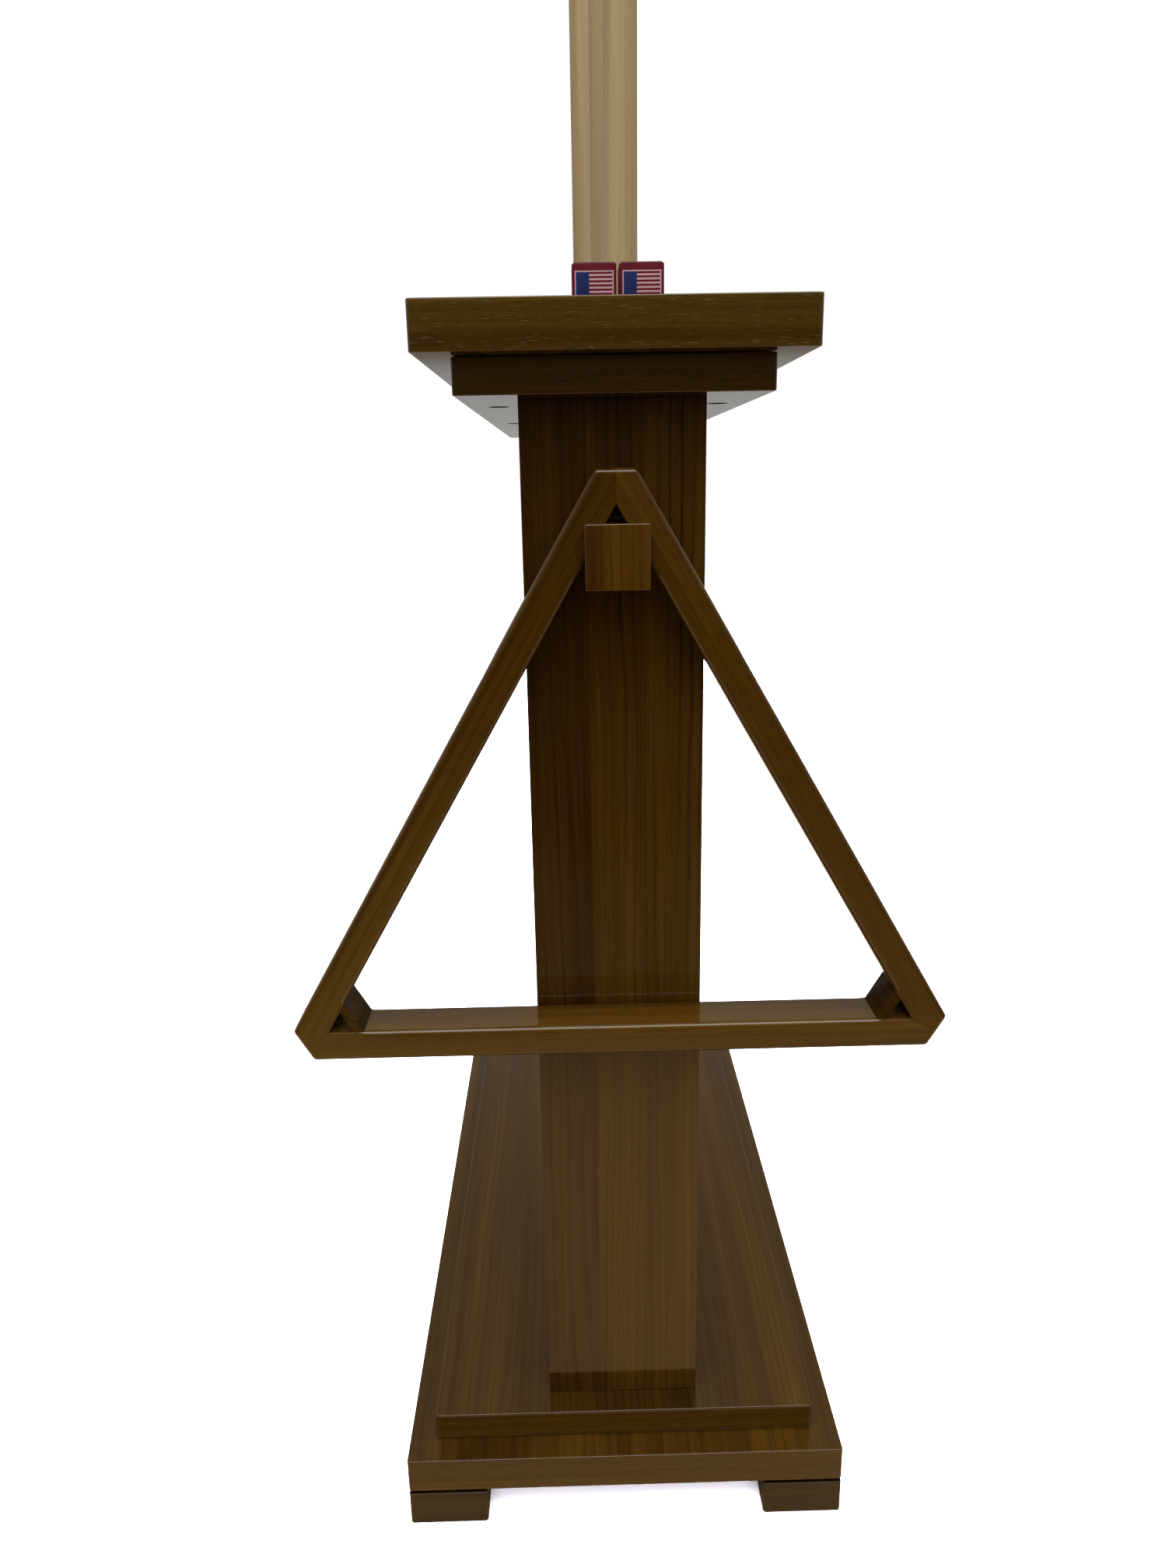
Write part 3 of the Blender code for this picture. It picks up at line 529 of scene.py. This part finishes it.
def speckled(name, first, second, scale, roughness, bump, distance, metallic=0.0,
             stretch=(1, 1, 1)):
    """A plain stuff with fine variation: rubber, chalk, leather, plastic, metal or dowel wood."""
    material, graph, shader = new_material(name)
    place = graph.node("ShaderNodeTexCoord")
    vector = graph.mapping(place.outputs["Object"], scale=stretch)
    grain = graph.noise(vector, scale, 4.0, 0.6)
    blotch = graph.noise(vector, scale / 7, 2.0, 0.5)
    mixed = graph.math("ADD", graph.math("MULTIPLY", grain, 0.6), graph.math("MULTIPLY", blotch, 0.4))
    share = graph.grey_ramp(mixed, [(0.35, 0.0), (0.65, 1.0)])
    graph.link(graph.mix(share, first, second), shader.inputs["Base Color"])
    graph.link(graph.math("MULTIPLY_ADD", grain, 0.2, roughness - 0.1), shader.inputs["Roughness"])
    graph.link(graph.bump(grain, bump, distance), shader.inputs["Normal"])
    shader.inputs["Metallic"].default_value = metallic
    return material


# ---------------------------------------------------------------- chalk wrapper
LABEL_SIDE = 0.0193           # width of the printed label
LABEL_TOP = 0.0033            # below the wrapper's top
LABEL_HEIGHT = 0.0118
LABEL_FRAME = 0.0006
PANEL_SHARE = 0.36            # of the label's width
STRIPE_COUNT = 5


def band(graph, value, low, high):
    """1 where value lies between low and high."""
    return graph.math("COMPARE", value, (low + high) / 2, (high - low) / 2)


def wrapper(name, low, high):
    """Burgundy paper with a plain framed label: a blue panel and a few bars on each side."""
    material, graph, shader = new_material(name)
    middle = (low + high) / 2
    place = graph.node("ShaderNodeTexCoord")
    parts = graph.split(graph.mapping(place.outputs["Object"],
                                      location=(-middle.x, -middle.y, -high.z)))
    facing = graph.split(place.outputs["Normal"])
    front = graph.math("GREATER_THAN", graph.math("ABSOLUTE", facing[Y]), FACING)
    side = graph.math("GREATER_THAN", graph.math("ABSOLUTE", facing[X]), FACING)
    across = graph.math("ADD", graph.math("MULTIPLY", parts[X], front),
                        graph.math("MULTIPLY", parts[Y], side))
    down = graph.math("MULTIPLY", parts[Z], -1.0)
    upright = graph.math("MAXIMUM", front, side)

    half = LABEL_SIDE / 2
    label = graph.math("MULTIPLY", band(graph, across, -half, half),
                       band(graph, down, LABEL_TOP, LABEL_TOP + LABEL_HEIGHT))
    label = graph.math("MULTIPLY", label, upright)
    inner_half = half - LABEL_FRAME
    field_top = LABEL_TOP + LABEL_FRAME
    field_height = LABEL_HEIGHT - 2 * LABEL_FRAME
    field = graph.math("MULTIPLY", band(graph, across, -inner_half, inner_half),
                       band(graph, down, field_top, field_top + field_height))
    field = graph.math("MULTIPLY", field, label)
    panel_end = -inner_half + PANEL_SHARE * 2 * inner_half
    panel = graph.math("MULTIPLY", band(graph, across, -half, panel_end), field)
    phase = graph.math("MULTIPLY", graph.math("SUBTRACT", down, field_top),
                       (STRIPE_COUNT + 0.5) / field_height)
    bars = graph.math("LESS_THAN", graph.math("FRACT", phase), 0.5)
    bars = graph.math("MULTIPLY", bars, graph.math("SUBTRACT", field, panel))

    paper = graph.noise(place.outputs["Object"], 900, 4.0, 0.6)
    scuffs = graph.grey_ramp(graph.noise(place.outputs["Object"], 420, 5.0, 0.7),
                             [(0.60, 0.0), (0.72, 1.0)])
    burgundy = graph.mix(paper, (0.085, 0.003, 0.011), (0.135, 0.006, 0.022))
    pale = graph.mix(paper, (0.40, 0.25, 0.29), (0.50, 0.34, 0.38))
    blue = graph.mix(paper, (0.009, 0.014, 0.080), (0.017, 0.025, 0.125))
    colour = graph.mix(label, burgundy, pale)
    colour = graph.mix(bars, colour, burgundy)
    colour = graph.mix(panel, colour, blue)
    colour = graph.mix(graph.math("MULTIPLY", scuffs, 0.10), colour, (0.22, 0.14, 0.18))
    graph.link(colour, shader.inputs["Base Color"])
    graph.link(graph.math("MULTIPLY_ADD", paper, 0.25, 0.38), shader.inputs["Roughness"])
    relief = graph.math("ADD", graph.math("MULTIPLY", paper, 0.4), graph.math("MULTIPLY", label, 0.6))
    graph.link(graph.bump(relief, 0.25, 0.00012), shader.inputs["Normal"])
    shader.inputs["Specular IOR Level"].default_value = 0.1
    return material


# ---------------------------------------------------------------- the stand
def places():
    first = -PLACE_PITCH * (PLACE_COUNT - 1) / 2
    return [first + PLACE_PITCH * index for index in range(PLACE_COUNT)]


def rim_profile(radius, rim, steps=4):
    """(radius, depth) points of a rounded rim, from the surface down the hole."""
    return [(radius + rim * (1 - math.sin(math.pi / 2 * step / steps)),
             rim * (1 - math.cos(math.pi / 2 * step / steps))) for step in range(steps + 1)]


def hole_cutter(bm, spot, start, depth, radius, rim, upward):
    """A round hole entered at height start. upward tells which way the drill goes."""
    sign = 1 if upward else -1
    mouth = rim_profile(radius, rim) if rim else []
    points = [(0.0, -PAST), (radius + rim, -PAST), *mouth, (radius, depth), (0.0, depth)]
    turned(bm, [(r, start + sign * z) for r, z in points], (spot[0], spot[1], 0.0), 64)


def post_spots():
    low, high = box_of("rear_post")
    middle = (low.y + high.y) / 2
    return [(x, y) for y in (-middle, middle) for x in (-POST_SCREW_X, POST_SCREW_X)]


def cue_holes(bm, start, depth, rim, upward):
    for y in places():
        hole_cutter(bm, (0.0, y), start, depth, HOLE_RADIUS, rim, upward)


def stand_board(node, wood, cutter, corner=BOARD_CORNER):
    stand_for(board(node, wood, BOARD_EASE, corner, cutter), node, "stand")


def make_boards():
    low, high = box_of("top_board")
    bm = bmesh.new()
    cue_holes(bm, high.z, high.z - low.z + PAST, HOLE_RIM, upward=False)
    stand_board("top_board", walnut("walnut_top", Y, (0.31, 0.12, 0.05), edge_veneer=True, tone=1.42,
                                    tint=OLIVE, spacing=0.0075), bm, TOP_CORNER)

    low, high = box_of("under_top_board")
    bm = bmesh.new()
    cue_holes(bm, low.z, high.z - low.z + PAST, HOLE_RIM, upward=True)
    for y in EDGE_SCREW_Y:
        for x in (-EDGE_SCREW_X, EDGE_SCREW_X):
            hole_cutter(bm, (x, y), low.z, EDGE_COUNTERBORE, COUNTERBORE_RADIUS, 0.0, upward=True)
    # Its low tone (0.76) is painted shade from the top board's overhang.
    stand_board("under_top_board", walnut("walnut_under_painted_shade", Y, (0.77, 0.42, 0.25), edge_veneer=True,
                                          tone=0.76), bm)

    low, high = box_of("step_board")
    bm = bmesh.new()
    cue_holes(bm, high.z, RECESS_DEPTH, RECESS_RIM, upward=False)
    # Its zones darken the middle as painted shade around the posts.
    stand_board("step_board", walnut("walnut_step", Y, (0.15, 0.83, 0.41), edge_veneer=True, tone=1.10,
                                     tint=WARMER, spacing=0.0042, lines=0.5, zones=STEP_TONES_AND_SHADE), bm)

    low, high = box_of("plinth_board")
    bm = bmesh.new()
    for spot in post_spots():
        hole_cutter(bm, spot, low.z, PLINTH_COUNTERBORE, COUNTERBORE_RADIUS, 0.0, upward=True)
    stand_board("plinth_board", walnut("walnut_plinth", Y, (0.52, 0.63, 0.81), edge_veneer=True,
                                       tint=WARMER, spacing=0.0075, lines=0.45), bm)

    for node, offset in (("front_post", (0.35, 0.71, 0.33)), ("rear_post", (0.91, 0.47, 0.10))):
        wood = walnut(f"walnut_{node}", Z, offset, tone=1.12, tint=WARMER, spacing=0.0050, lines=0.82,
                      seams=POST_SEAMS, zones=POST_ZONES, wander=0.0)
        stand_for(board(node, wood, POST_EASE, raised=POST_RISE), node, "stand")


def make_feet():
    for index, name in enumerate(("front_left", "front_right", "rear_left", "rear_right")):
        node = f"foot_{name}"
        low, high = box_of(node)
        middle = (low + high) / 2
        bm = bmesh.new()
        hole_cutter(bm, middle.xy, low.z, FOOT_COUNTERBORE, COUNTERBORE_RADIUS, 0.0, upward=True)
        wood = walnut(f"walnut_{node}", X, (0.2 * index, 0.3, 0.1 * index), tone=0.43, tint=WARMER,
                      spacing=0.003, lines=1.0)
        stand_for(board(node, wood, FOOT_EASE, BOARD_CORNER, bm), node, "stand")


def make_peg():
    wood = walnut("walnut_peg", Z, (0.33, 0.27, 0.9), tone=1.45, tint=WARMER, spacing=0.0045, lines=0.5)
    stand_for(board("peg_head", wood, BOARD_EASE), "peg_head", "stand")
    low, high = box_of("peg_dowel")
    radius = (high.z - low.z) / 2
    middle = (low + high) / 2
    length = high.y - low.y
    bm = bmesh.new()
    turned(bm, [(0.0, 0.0), (radius - DOWEL_EASE, 0.0), (radius, DOWEL_EASE),
                (radius, length - DOWEL_EASE), (radius - DOWEL_EASE, length), (0.0, length)])
    turn = Matrix.Translation((middle.x, low.y, middle.z)) @ Matrix.Rotation(-math.pi / 2, 4, "X")
    bmesh.ops.transform(bm, matrix=turn, verts=bm.verts)
    beech = speckled("beech", (0.30, 0.17, 0.075), (0.42, 0.26, 0.13), 600, 0.5, 0.1, 0.0001,
                     stretch=(1, 0.05, 1))
    dowel = add_mesh("peg_dowel_finished", bm, beech)
    stand_for(dowel, "peg_dowel", "stand")


# ---------------------------------------------------------------- ball triangle
BAR_THICKNESS = 0.0175
BAR_ROUND = 0.003             # rounding of the bars' long edges
BAR_EASE = 0.0005             # what is left of it inside the corner pockets
TIP_ROUND = 0.0015            # rounding of the cut corners, seen from the front
TRIANGLE_SIDE = 0.3883        # outside, between the corners that are cut off
CORNER_CUT = 0.0205           # along each side from its corner
STRIP_REACH = 0.0197          # along each inner side from its corner
STRIP_THICKNESS = 0.0045
JOINT_GAP = 0.0001
SLOPE = math.radians(30)


class Triangle:
    """Where the triangle is, from the CAD bars."""

    def __init__(self):
        low, high = box_of("triangle_bar_bottom")
        self.y = (low.y + high.y) / 2
        self.depth = high.y - low.y
        self.inner_side = TRIANGLE_SIDE - 2 * math.sqrt(3) * BAR_THICKNESS
        self.centre_z = low.z + BAR_THICKNESS + self.inner_side / (2 * math.sqrt(3))

    def settle(self, bm, turn):
        matrix = (Matrix.Translation((0.0, self.y, self.centre_z))
                  @ Matrix.Rotation(math.radians(turn), 4, "Y"))
        bmesh.ops.transform(bm, matrix=matrix, verts=bm.verts)


def bar_section(depth, inner_radius, steps=5):
    """(across, along Y) points round a bar's section, outer corners sharp; across 0 is inside."""
    half = depth / 2
    arcs = []
    for side, start in ((-1, 180), (1, 90)):
        angles = [math.radians(start + 90 * step / steps) for step in range(steps + 1)]
        arcs.append([(inner_radius + inner_radius * math.cos(angle),
                      side * (half - inner_radius) + inner_radius * math.sin(angle))
                     for angle in angles])
    return arcs[0] + [(BAR_THICKNESS, -half), (BAR_THICKNESS, half)] + arcs[1]


def edges_between(bm, first, second):
    """Edges whose two faces answer the two tests on their normals, in either order."""
    found = []
    for edge in bm.edges:
        normals = [face.normal for face in edge.link_faces]
        if len(normals) == 2 and any(first(one) and second(other)
                                     for one, other in (normals, normals[::-1])):
            found.append(edge)
    return found


def triangle_bar(name, triangle, turn, material):
    """A mitred bar with cut tips. Its inner edges are rounded only between the strips."""
    inner_half = triangle.inner_side / 2
    to_inner = triangle.inner_side / (2 * math.sqrt(3))
    strip_end = inner_half - STRIP_REACH

    def mitre(across):
        return inner_half + across * math.sqrt(3) - JOINT_GAP

    stations = [(BAR_EASE, mitre), (BAR_EASE, lambda across: strip_end + STRIP_THICKNESS)]
    for step in range(5):
        share = step / 4
        radius = BAR_EASE + (BAR_ROUND - BAR_EASE) * math.sin(math.pi / 2 * share)
        reach = strip_end + STRIP_THICKNESS / 2 - share * BAR_ROUND * 1.5
        stations.append((radius, lambda across, reach=reach: reach))
    bm = bmesh.new()
    rings = []
    for side, order in ((-1, stations), (1, stations[::-1])):
        for radius, reach in order:
            rings.append([bm.verts.new((side * reach(across), along, -to_inner - across))
                          for across, along in bar_section(triangle.depth, radius)])
    count = len(rings[0])
    for left, right in zip(rings, rings[1:]):
        for step in range(count):
            after = (step + 1) % count
            bm.faces.new((left[step], left[after], right[after], right[step]))
    bm.faces.new(rings[0])
    bm.faces.new(rings[-1])
    bmesh.ops.recalc_face_normals(bm, faces=bm.faces)

    outer_reach = TRIANGLE_SIDE / math.sqrt(3) - CORNER_CUT * math.cos(SLOPE)
    for side in (-1, 1):
        direction = Vector((side * math.cos(SLOPE), 0.0, -0.5))
        tip = bmesh.ops.bisect_plane(bm, geom=bm.verts[:] + bm.edges[:] + bm.faces[:],
                                     plane_co=direction * outer_reach, plane_no=direction,
                                     clear_outer=True)
        rim = [item for item in tip["geom_cut"] if isinstance(item, bmesh.types.BMEdge)]
        bmesh.ops.edgeloop_fill(bm, edges=rim)
    bmesh.ops.recalc_face_normals(bm, faces=bm.faces)
    corners = edges_between(bm, lambda normal: normal.z < -0.99, lambda normal: -0.6 < normal.z < -0.4)
    bmesh.ops.bevel(bm, geom=corners, offset=TIP_ROUND, segments=3, affect="EDGES", profile=0.5)
    outline = edges_between(bm, lambda normal: abs(normal.y) > 0.99,
                            lambda normal: normal.z < -0.4 and abs(normal.y) < 0.01)
    bmesh.ops.bevel(bm, geom=outline, offset=BAR_ROUND, segments=5, affect="EDGES", profile=0.5)
    triangle.settle(bm, turn)
    return add_mesh(name, bm, material, BAR_ANGLE)


def triangle_strip(name, triangle, turn, material):
    """A thin strip across an inner corner, modelled in the top corner and then turned."""
    corner = triangle.inner_side / math.sqrt(3)
    face = STRIP_REACH * math.cos(SLOPE)
    inset = JOINT_GAP / math.cos(SLOPE)
    half_depth = triangle.depth / 2
    bm = bmesh.new()
    layers = []
    for along in (-half_depth, half_depth):
        layers.append([bm.verts.new((side * (down * math.tan(SLOPE) - inset), along, corner - down))
                       for side, down in ((-1, face), (1, face), (1, face - STRIP_THICKNESS),
                                          (-1, face - STRIP_THICKNESS))])
    front, back = layers
    bm.faces.new(front)
    bm.faces.new(back)
    for step in range(4):
        after = (step + 1) % 4
        bm.faces.new((front[step], front[after], back[after], back[step]))
    for first, radius in ((0, BAR_ROUND), (2, BAR_EASE)):
        crossing = [bm.edges.get((layer[first], layer[first + 1])) for layer in layers]
        bmesh.ops.bevel(bm, geom=crossing, offset=radius, segments=5, affect="EDGES", profile=0.5)
    triangle.settle(bm, turn)
    return add_mesh(name, bm, material)


def make_triangle():
    triangle = Triangle()
    for index, (name, turn) in enumerate((("bottom", 0), ("left", 120), ("right", -120))):
        wood = walnut(f"triangle_walnut_{name}", X, (0.4 * index, 0.2 * index, 0.1),
                      turn=math.radians(turn / 2), tone=1.15, tint=WARMER, spacing=0.011, tilt=0.9,
                      lines=0.35)
        bar = triangle_bar(f"triangle_{name}_finished", triangle, turn, wood)
        flat_faces_stay_flat(bar)
        stand_for(bar, f"triangle_bar_{name}", "ball_triangle")
    # The strips' low tone (0.8) is painted shade in the triangle's inner corners.
    wood = walnut("triangle_walnut_strip_painted_shade", Y, (0.6, 0.1, 0.7), tone=0.8, gloss=0.2)
    for name, turn in (("top", 0), ("left", -120), ("right", 120)):
        strip = triangle_strip(f"corner_strip_{name}_finished", triangle, turn, wood)
        flat_faces_stay_flat(strip)
        stand_for(strip, f"triangle_strip_{name}", "ball_triangle")


# ---------------------------------------------------------------- cues
CUE_LENGTH = 1.448
CUE_BUTT_RADIUS = 0.015
CUE_TIP_RADIUS = 0.00625
BUMPER_HEIGHT = 0.012
RUBBER_INSET = 0.001          # how far the rubber stands in from the wood
BUTT_TOP = 0.420
FERRULE_LENGTH = 0.022
TIP_LENGTH = 0.006
# Each cue is (place from the front, x of its foot in metres, lean as a slope).
CUES = ((2, 0.00365, 0.00973), (3, 0.0053, 0.0), (5, -0.0015, -0.00436))


def cue_radius(height):
    return CUE_BUTT_RADIUS + (CUE_TIP_RADIUS - CUE_BUTT_RADIUS) * height / CUE_LENGTH


def tapered(low, high, count):
    return [(cue_radius(low + (high - low) * step / count), low + (high - low) * step / count)
            for step in range(count + 1)]


def cue_piece(name, profile, axis_at, material, node, body):
    x, y, z, lean = axis_at
    bm = bmesh.new()
    turned(bm, profile, segments=56)
    turn = Matrix.Translation((x, y, z)) @ Matrix.Rotation(math.atan(lean), 4, "Y")
    bmesh.ops.transform(bm, matrix=turn, verts=bm.verts)
    stand_for(add_mesh(name, bm, material, TURNED_ANGLE), node, body)


def make_cues():
    rubber = bpy.data.materials["black_rubber"]
    ferrule = speckled("ferrule_white", (0.62, 0.60, 0.54), (0.70, 0.68, 0.62), 500, 0.35, 0.05, 0.0001)
    leather = speckled("tip_leather", (0.035, 0.075, 0.13), (0.07, 0.13, 0.20), 1500, 0.9, 0.5, 0.0003)
    shaft_top = CUE_LENGTH - FERRULE_LENGTH - TIP_LENGTH
    end = CUE_LENGTH - TIP_LENGTH
    for number, (place, offset, lean) in enumerate(CUES, start=1):
        foot_z = box_of(f"cue_{number}_bumper")[0].z
        axis_at = (offset, places()[place - 1], foot_z, lean)
        body = f"cue_{number}"
        foot = cue_radius(0.0) - RUBBER_INSET
        profile = [(0.0, 0.0006), (foot - 0.006, 0.0004), (foot - 0.0042, 0.0), (foot - 0.0022, 0.0006),
                   (foot - 0.0008, 0.0022), (foot, 0.005), (foot, BUMPER_HEIGHT), (0.0, BUMPER_HEIGHT)]
        cue_piece(f"{body}_bumper_finished", profile, axis_at, rubber, f"{body}_bumper", body)

        sweep = tapered(BUMPER_HEIGHT + 0.002, BUTT_TOP, 8)
        first = sweep[0][0]
        profile = [(0.0, BUMPER_HEIGHT), (first - 0.0012, BUMPER_HEIGHT),
                   (first - 0.0004, BUMPER_HEIGHT + 0.0006), *sweep, (0.0, BUTT_TOP)]
        wood = stained(f"{body}_stain", (0.1 * number, 0.3, 0.2), axis_at)
        cue_piece(f"{body}_butt_finished", profile, axis_at, wood, f"{body}_butt", body)

        profile = [(0.0, BUTT_TOP), *tapered(BUTT_TOP, shaft_top, 24), (0.0, shaft_top)]
        wood = maple(f"{body}_maple", (0.2 * number, 0.11, 0.5 * number), BUTT_TOP, axis_at)
        cue_piece(f"{body}_shaft_finished", profile, axis_at, wood, f"{body}_shaft", body)

        profile = [(0.0, shaft_top), *tapered(shaft_top, end, 2), (0.0, end)]
        cue_piece(f"{body}_ferrule_finished", profile, axis_at, ferrule, f"{body}_ferrule",
                  body)

        radius = cue_radius(end)
        dome = [(radius * math.cos(angle), end + TIP_LENGTH / 2 * (1 + math.sin(angle)))
                for angle in map(math.radians, range(0, 90, 15))]
        profile = [(0.0, end), (radius, end), *dome, (0.0, CUE_LENGTH)]
        cue_piece(f"{body}_tip_finished", profile, axis_at, leather, f"{body}_tip", body)


# ---------------------------------------------------------------- chalk
WRAP = 0.0004                 # thickness of the paper
WRAP_CORNER = 0.0009
PAPER_SAG = 0.00012           # how far the paper's top edge strays
DISH_DEPTH = 0.0022           # the hollow that the cue tips wear
DISH_RADIUS = 0.0082


def square_ring(half, corner, steps=4):
    """Points round a square with rounded corners."""
    points = []
    for cx, cy, start in ((1, 1, 0), (-1, 1, 90), (-1, -1, 180), (1, -1, 270)):
        for step in range(steps + 1):
            angle = math.radians(start + 90 * step / steps)
            points.append((cx * (half - corner) + corner * math.cos(angle),
                           cy * (half - corner) + corner * math.sin(angle)))
    return points


def make_chalk(number):
    low, high = box_of(f"chalk_{number}_wrapper")
    middle = (low + high) / 2
    half = (high.x - low.x) / 2
    body = f"chalk_{number}"
    bm = bmesh.new()
    rings = []
    inner = half - WRAP
    edge = high.z - WRAP / 2
    inner_corner = WRAP_CORNER / 2
    for size, corner, level in ((half, WRAP_CORNER, low.z), (half, WRAP_CORNER, edge),
                                (half - WRAP / 4, WRAP_CORNER, high.z),
                                (inner + WRAP / 4, inner_corner, high.z),
                                (inner, inner_corner, edge), (inner, inner_corner, low.z)):
        ring = []
        for index, (x, y) in enumerate(square_ring(size, corner)):
            sag = PAPER_SAG * math.sin(index * 1.7 + number) if level > middle.z else 0.0
            ring.append(bm.verts.new((middle.x + x, middle.y + y, level - abs(sag))))
        rings.append(ring)
    count = len(rings[0])
    for first, second in zip(rings, rings[1:] + rings[:1]):
        for step in range(count):
            after = (step + 1) % count
            bm.faces.new((first[step], first[after], second[after], second[step]))
    paper = add_mesh(f"{body}_wrapper_finished", bm, wrapper(f"{body}_paper", low, high), BAR_ANGLE)
    stand_for(paper, f"{body}_wrapper", body)

    low, high = box_of(f"{body}_block")
    cutter = bmesh.new()
    bowl = [(DISH_RADIUS * share, high.z - DISH_DEPTH * math.sqrt(1 - share ** 2))
            for share in (step / 8 for step in range(1, 8))]
    turned(cutter, [(0.0, high.z - DISH_DEPTH), *bowl, (DISH_RADIUS, high.z),
                    (DISH_RADIUS, high.z + PAST), (0.0, high.z + PAST)], (middle.x, middle.y, 0.0))
    chalk = bpy.data.materials.get("chalk") or speckled(
        "chalk", (0.030, 0.010, 0.014), (0.085, 0.022, 0.034), 1300, 0.95, 0.6, 0.0004)
    stand_for(board(f"{body}_block", chalk, CHALK_EASE, cutter=cutter), f"{body}_block", body)


# ---------------------------------------------------------------- screws and spacers
def make_hardware():
    rubber = speckled("black_rubber", (0.010, 0.010, 0.010), (0.030, 0.029, 0.028), 900, 0.8, 0.3, 0.0002)
    steel = speckled("zinc_steel", (0.36, 0.36, 0.35), (0.52, 0.51, 0.48), 1400, 0.38, 0.15, 0.0001, 1.0)
    for name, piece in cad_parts.items():
        if "screw" in name:
            paint(piece, steel)
        elif "spacer" in name:
            paint(piece, rubber)


def paint(piece, material):
    for slot in piece.material_slots:
        slot.material = material


# ---------------------------------------------------------------- studio
FLOOR_RADIUS = 7.0
FLOOR_Z = -0.0002             # just under the feet
FLOOR_BOUNCE = ((-1.7, (0.02, 0.018, 0.015)), (-1.0, (0.15, 0.11, 0.06)), (-0.7, (0.51, 0.36, 0.175)),
                (0.6, (0.51, 0.38, 0.22)), (2.5, (0.42, 0.41, 0.39)))  # (y in metres, colour); the near-black stops behind the camera are a painted shadow on the floor
FLOOR_SEEN = ((5.0, 5.3, 6.6), (5.3, 5.6, 6.9))   # white out to the horizon, where the light is low
BACKDROP = (1.05, 1.05, 1.05)
LAMP_COLOUR = (1.0, 0.98, 0.95)


def add_floor():
    """A floor that the camera sees white. Its reflected light is dim and warm, so that the lacquer
    stays deep in colour, and behind the camera it is painted dark as a shadow."""
    bm = bmesh.new()
    bmesh.ops.create_circle(bm, cap_ends=True, radius=FLOOR_RADIUS, segments=96,
                            matrix=Matrix.Translation((0.0, 0.0, FLOOR_Z)))
    material, graph, shader = new_material("pale_floor")
    place = graph.node("ShaderNodeTexCoord")
    mottle = graph.noise(place.outputs["Object"], 3.0, 3.0, 0.5)
    pale = graph.mix(mottle, *FLOOR_SEEN)
    along = graph.math("MULTIPLY_ADD", graph.split(place.outputs["Object"])[Y], 0.5 / FLOOR_RADIUS, 0.5)
    dim = graph.ramp(along, [(0.5 + 0.5 * y / FLOOR_RADIUS, colour) for y, colour in FLOOR_BOUNCE])
    path = graph.node("ShaderNodeLightPath")
    diffuse = graph.node("ShaderNodeBsdfDiffuse")
    graph.link(graph.mix(path.outputs["Is Camera Ray"], dim, pale), diffuse.inputs["Color"])
    output = next(node for node in material.node_tree.nodes if node.type == "OUTPUT_MATERIAL")
    graph.link(diffuse.outputs[0], output.inputs["Surface"])
    material.node_tree.nodes.remove(shader)
    floor = add_mesh("floor", bm, material)


def add_world():
    """A room that is lit on its far side and dim behind the camera; the camera sees it white."""
    world = bpy.data.worlds.new("studio")
    bpy.context.scene.world = world
    world.use_nodes = True
    graph = Graph(world.node_tree)
    background = world.node_tree.nodes["Background"]
    place = graph.node("ShaderNodeTexCoord")
    parts = graph.split(place.outputs["Generated"])
    toward = graph.math("MULTIPLY_ADD", parts[Y], 0.5, 0.5)
    wall = graph.ramp(toward, [(0.0, (0.015, 0.013, 0.010)), (0.35, (0.08, 0.075, 0.065)),
                               (0.60, (0.32, 0.315, 0.30)), (1.0, (0.40, 0.395, 0.385))])
    ceiling = graph.grey_ramp(parts[Z], [(0.20, 0.0), (0.60, 1.0)])
    room = graph.mix(ceiling, wall, (0.30, 0.235, 0.145))
    path = graph.node("ShaderNodeLightPath")
    graph.link(graph.mix(path.outputs["Is Camera Ray"], room, BACKDROP), background.inputs["Color"])


def add_light(name, place, aim, size, power, in_reflections=True):
    data = bpy.data.lights.new(name, "AREA")
    data.shape = "RECTANGLE"
    data.size, data.size_y = size
    data.energy = power
    data.color = LAMP_COLOUR
    light = bpy.data.objects.new(name, data)
    facing = (Vector(aim) - Vector(place)).to_track_quat("-Z", "Y")
    light.matrix_world = Matrix.Translation(place) @ facing.to_matrix().to_4x4()
    light.visible_camera = False
    light.visible_glossy = in_reflections
    bpy.context.scene.collection.objects.link(light)


add_camera()
make_hardware()
make_boards()
make_feet()
make_peg()
make_triangle()
make_cues()
for number in (1, 2):
    make_chalk(number)
add_floor()
add_world()
add_light("ceiling", (0.1, -1.05, 2.6), (0.0, -0.6, 0.2), (4.4, 2.0), 68.0)
add_light("fill", (0.1, -3.0, 1.6), (0.0, -0.2, 0.5), (2.5, 2.0), 24.0, in_reflections=False)
add_light("rear_fill", (0.3, 3.2, 0.9), (0.0, 0.2, 0.5), (2.5, 1.6), 28.0, in_reflections=False)
bpy.context.scene.view_settings.view_transform = "Standard"
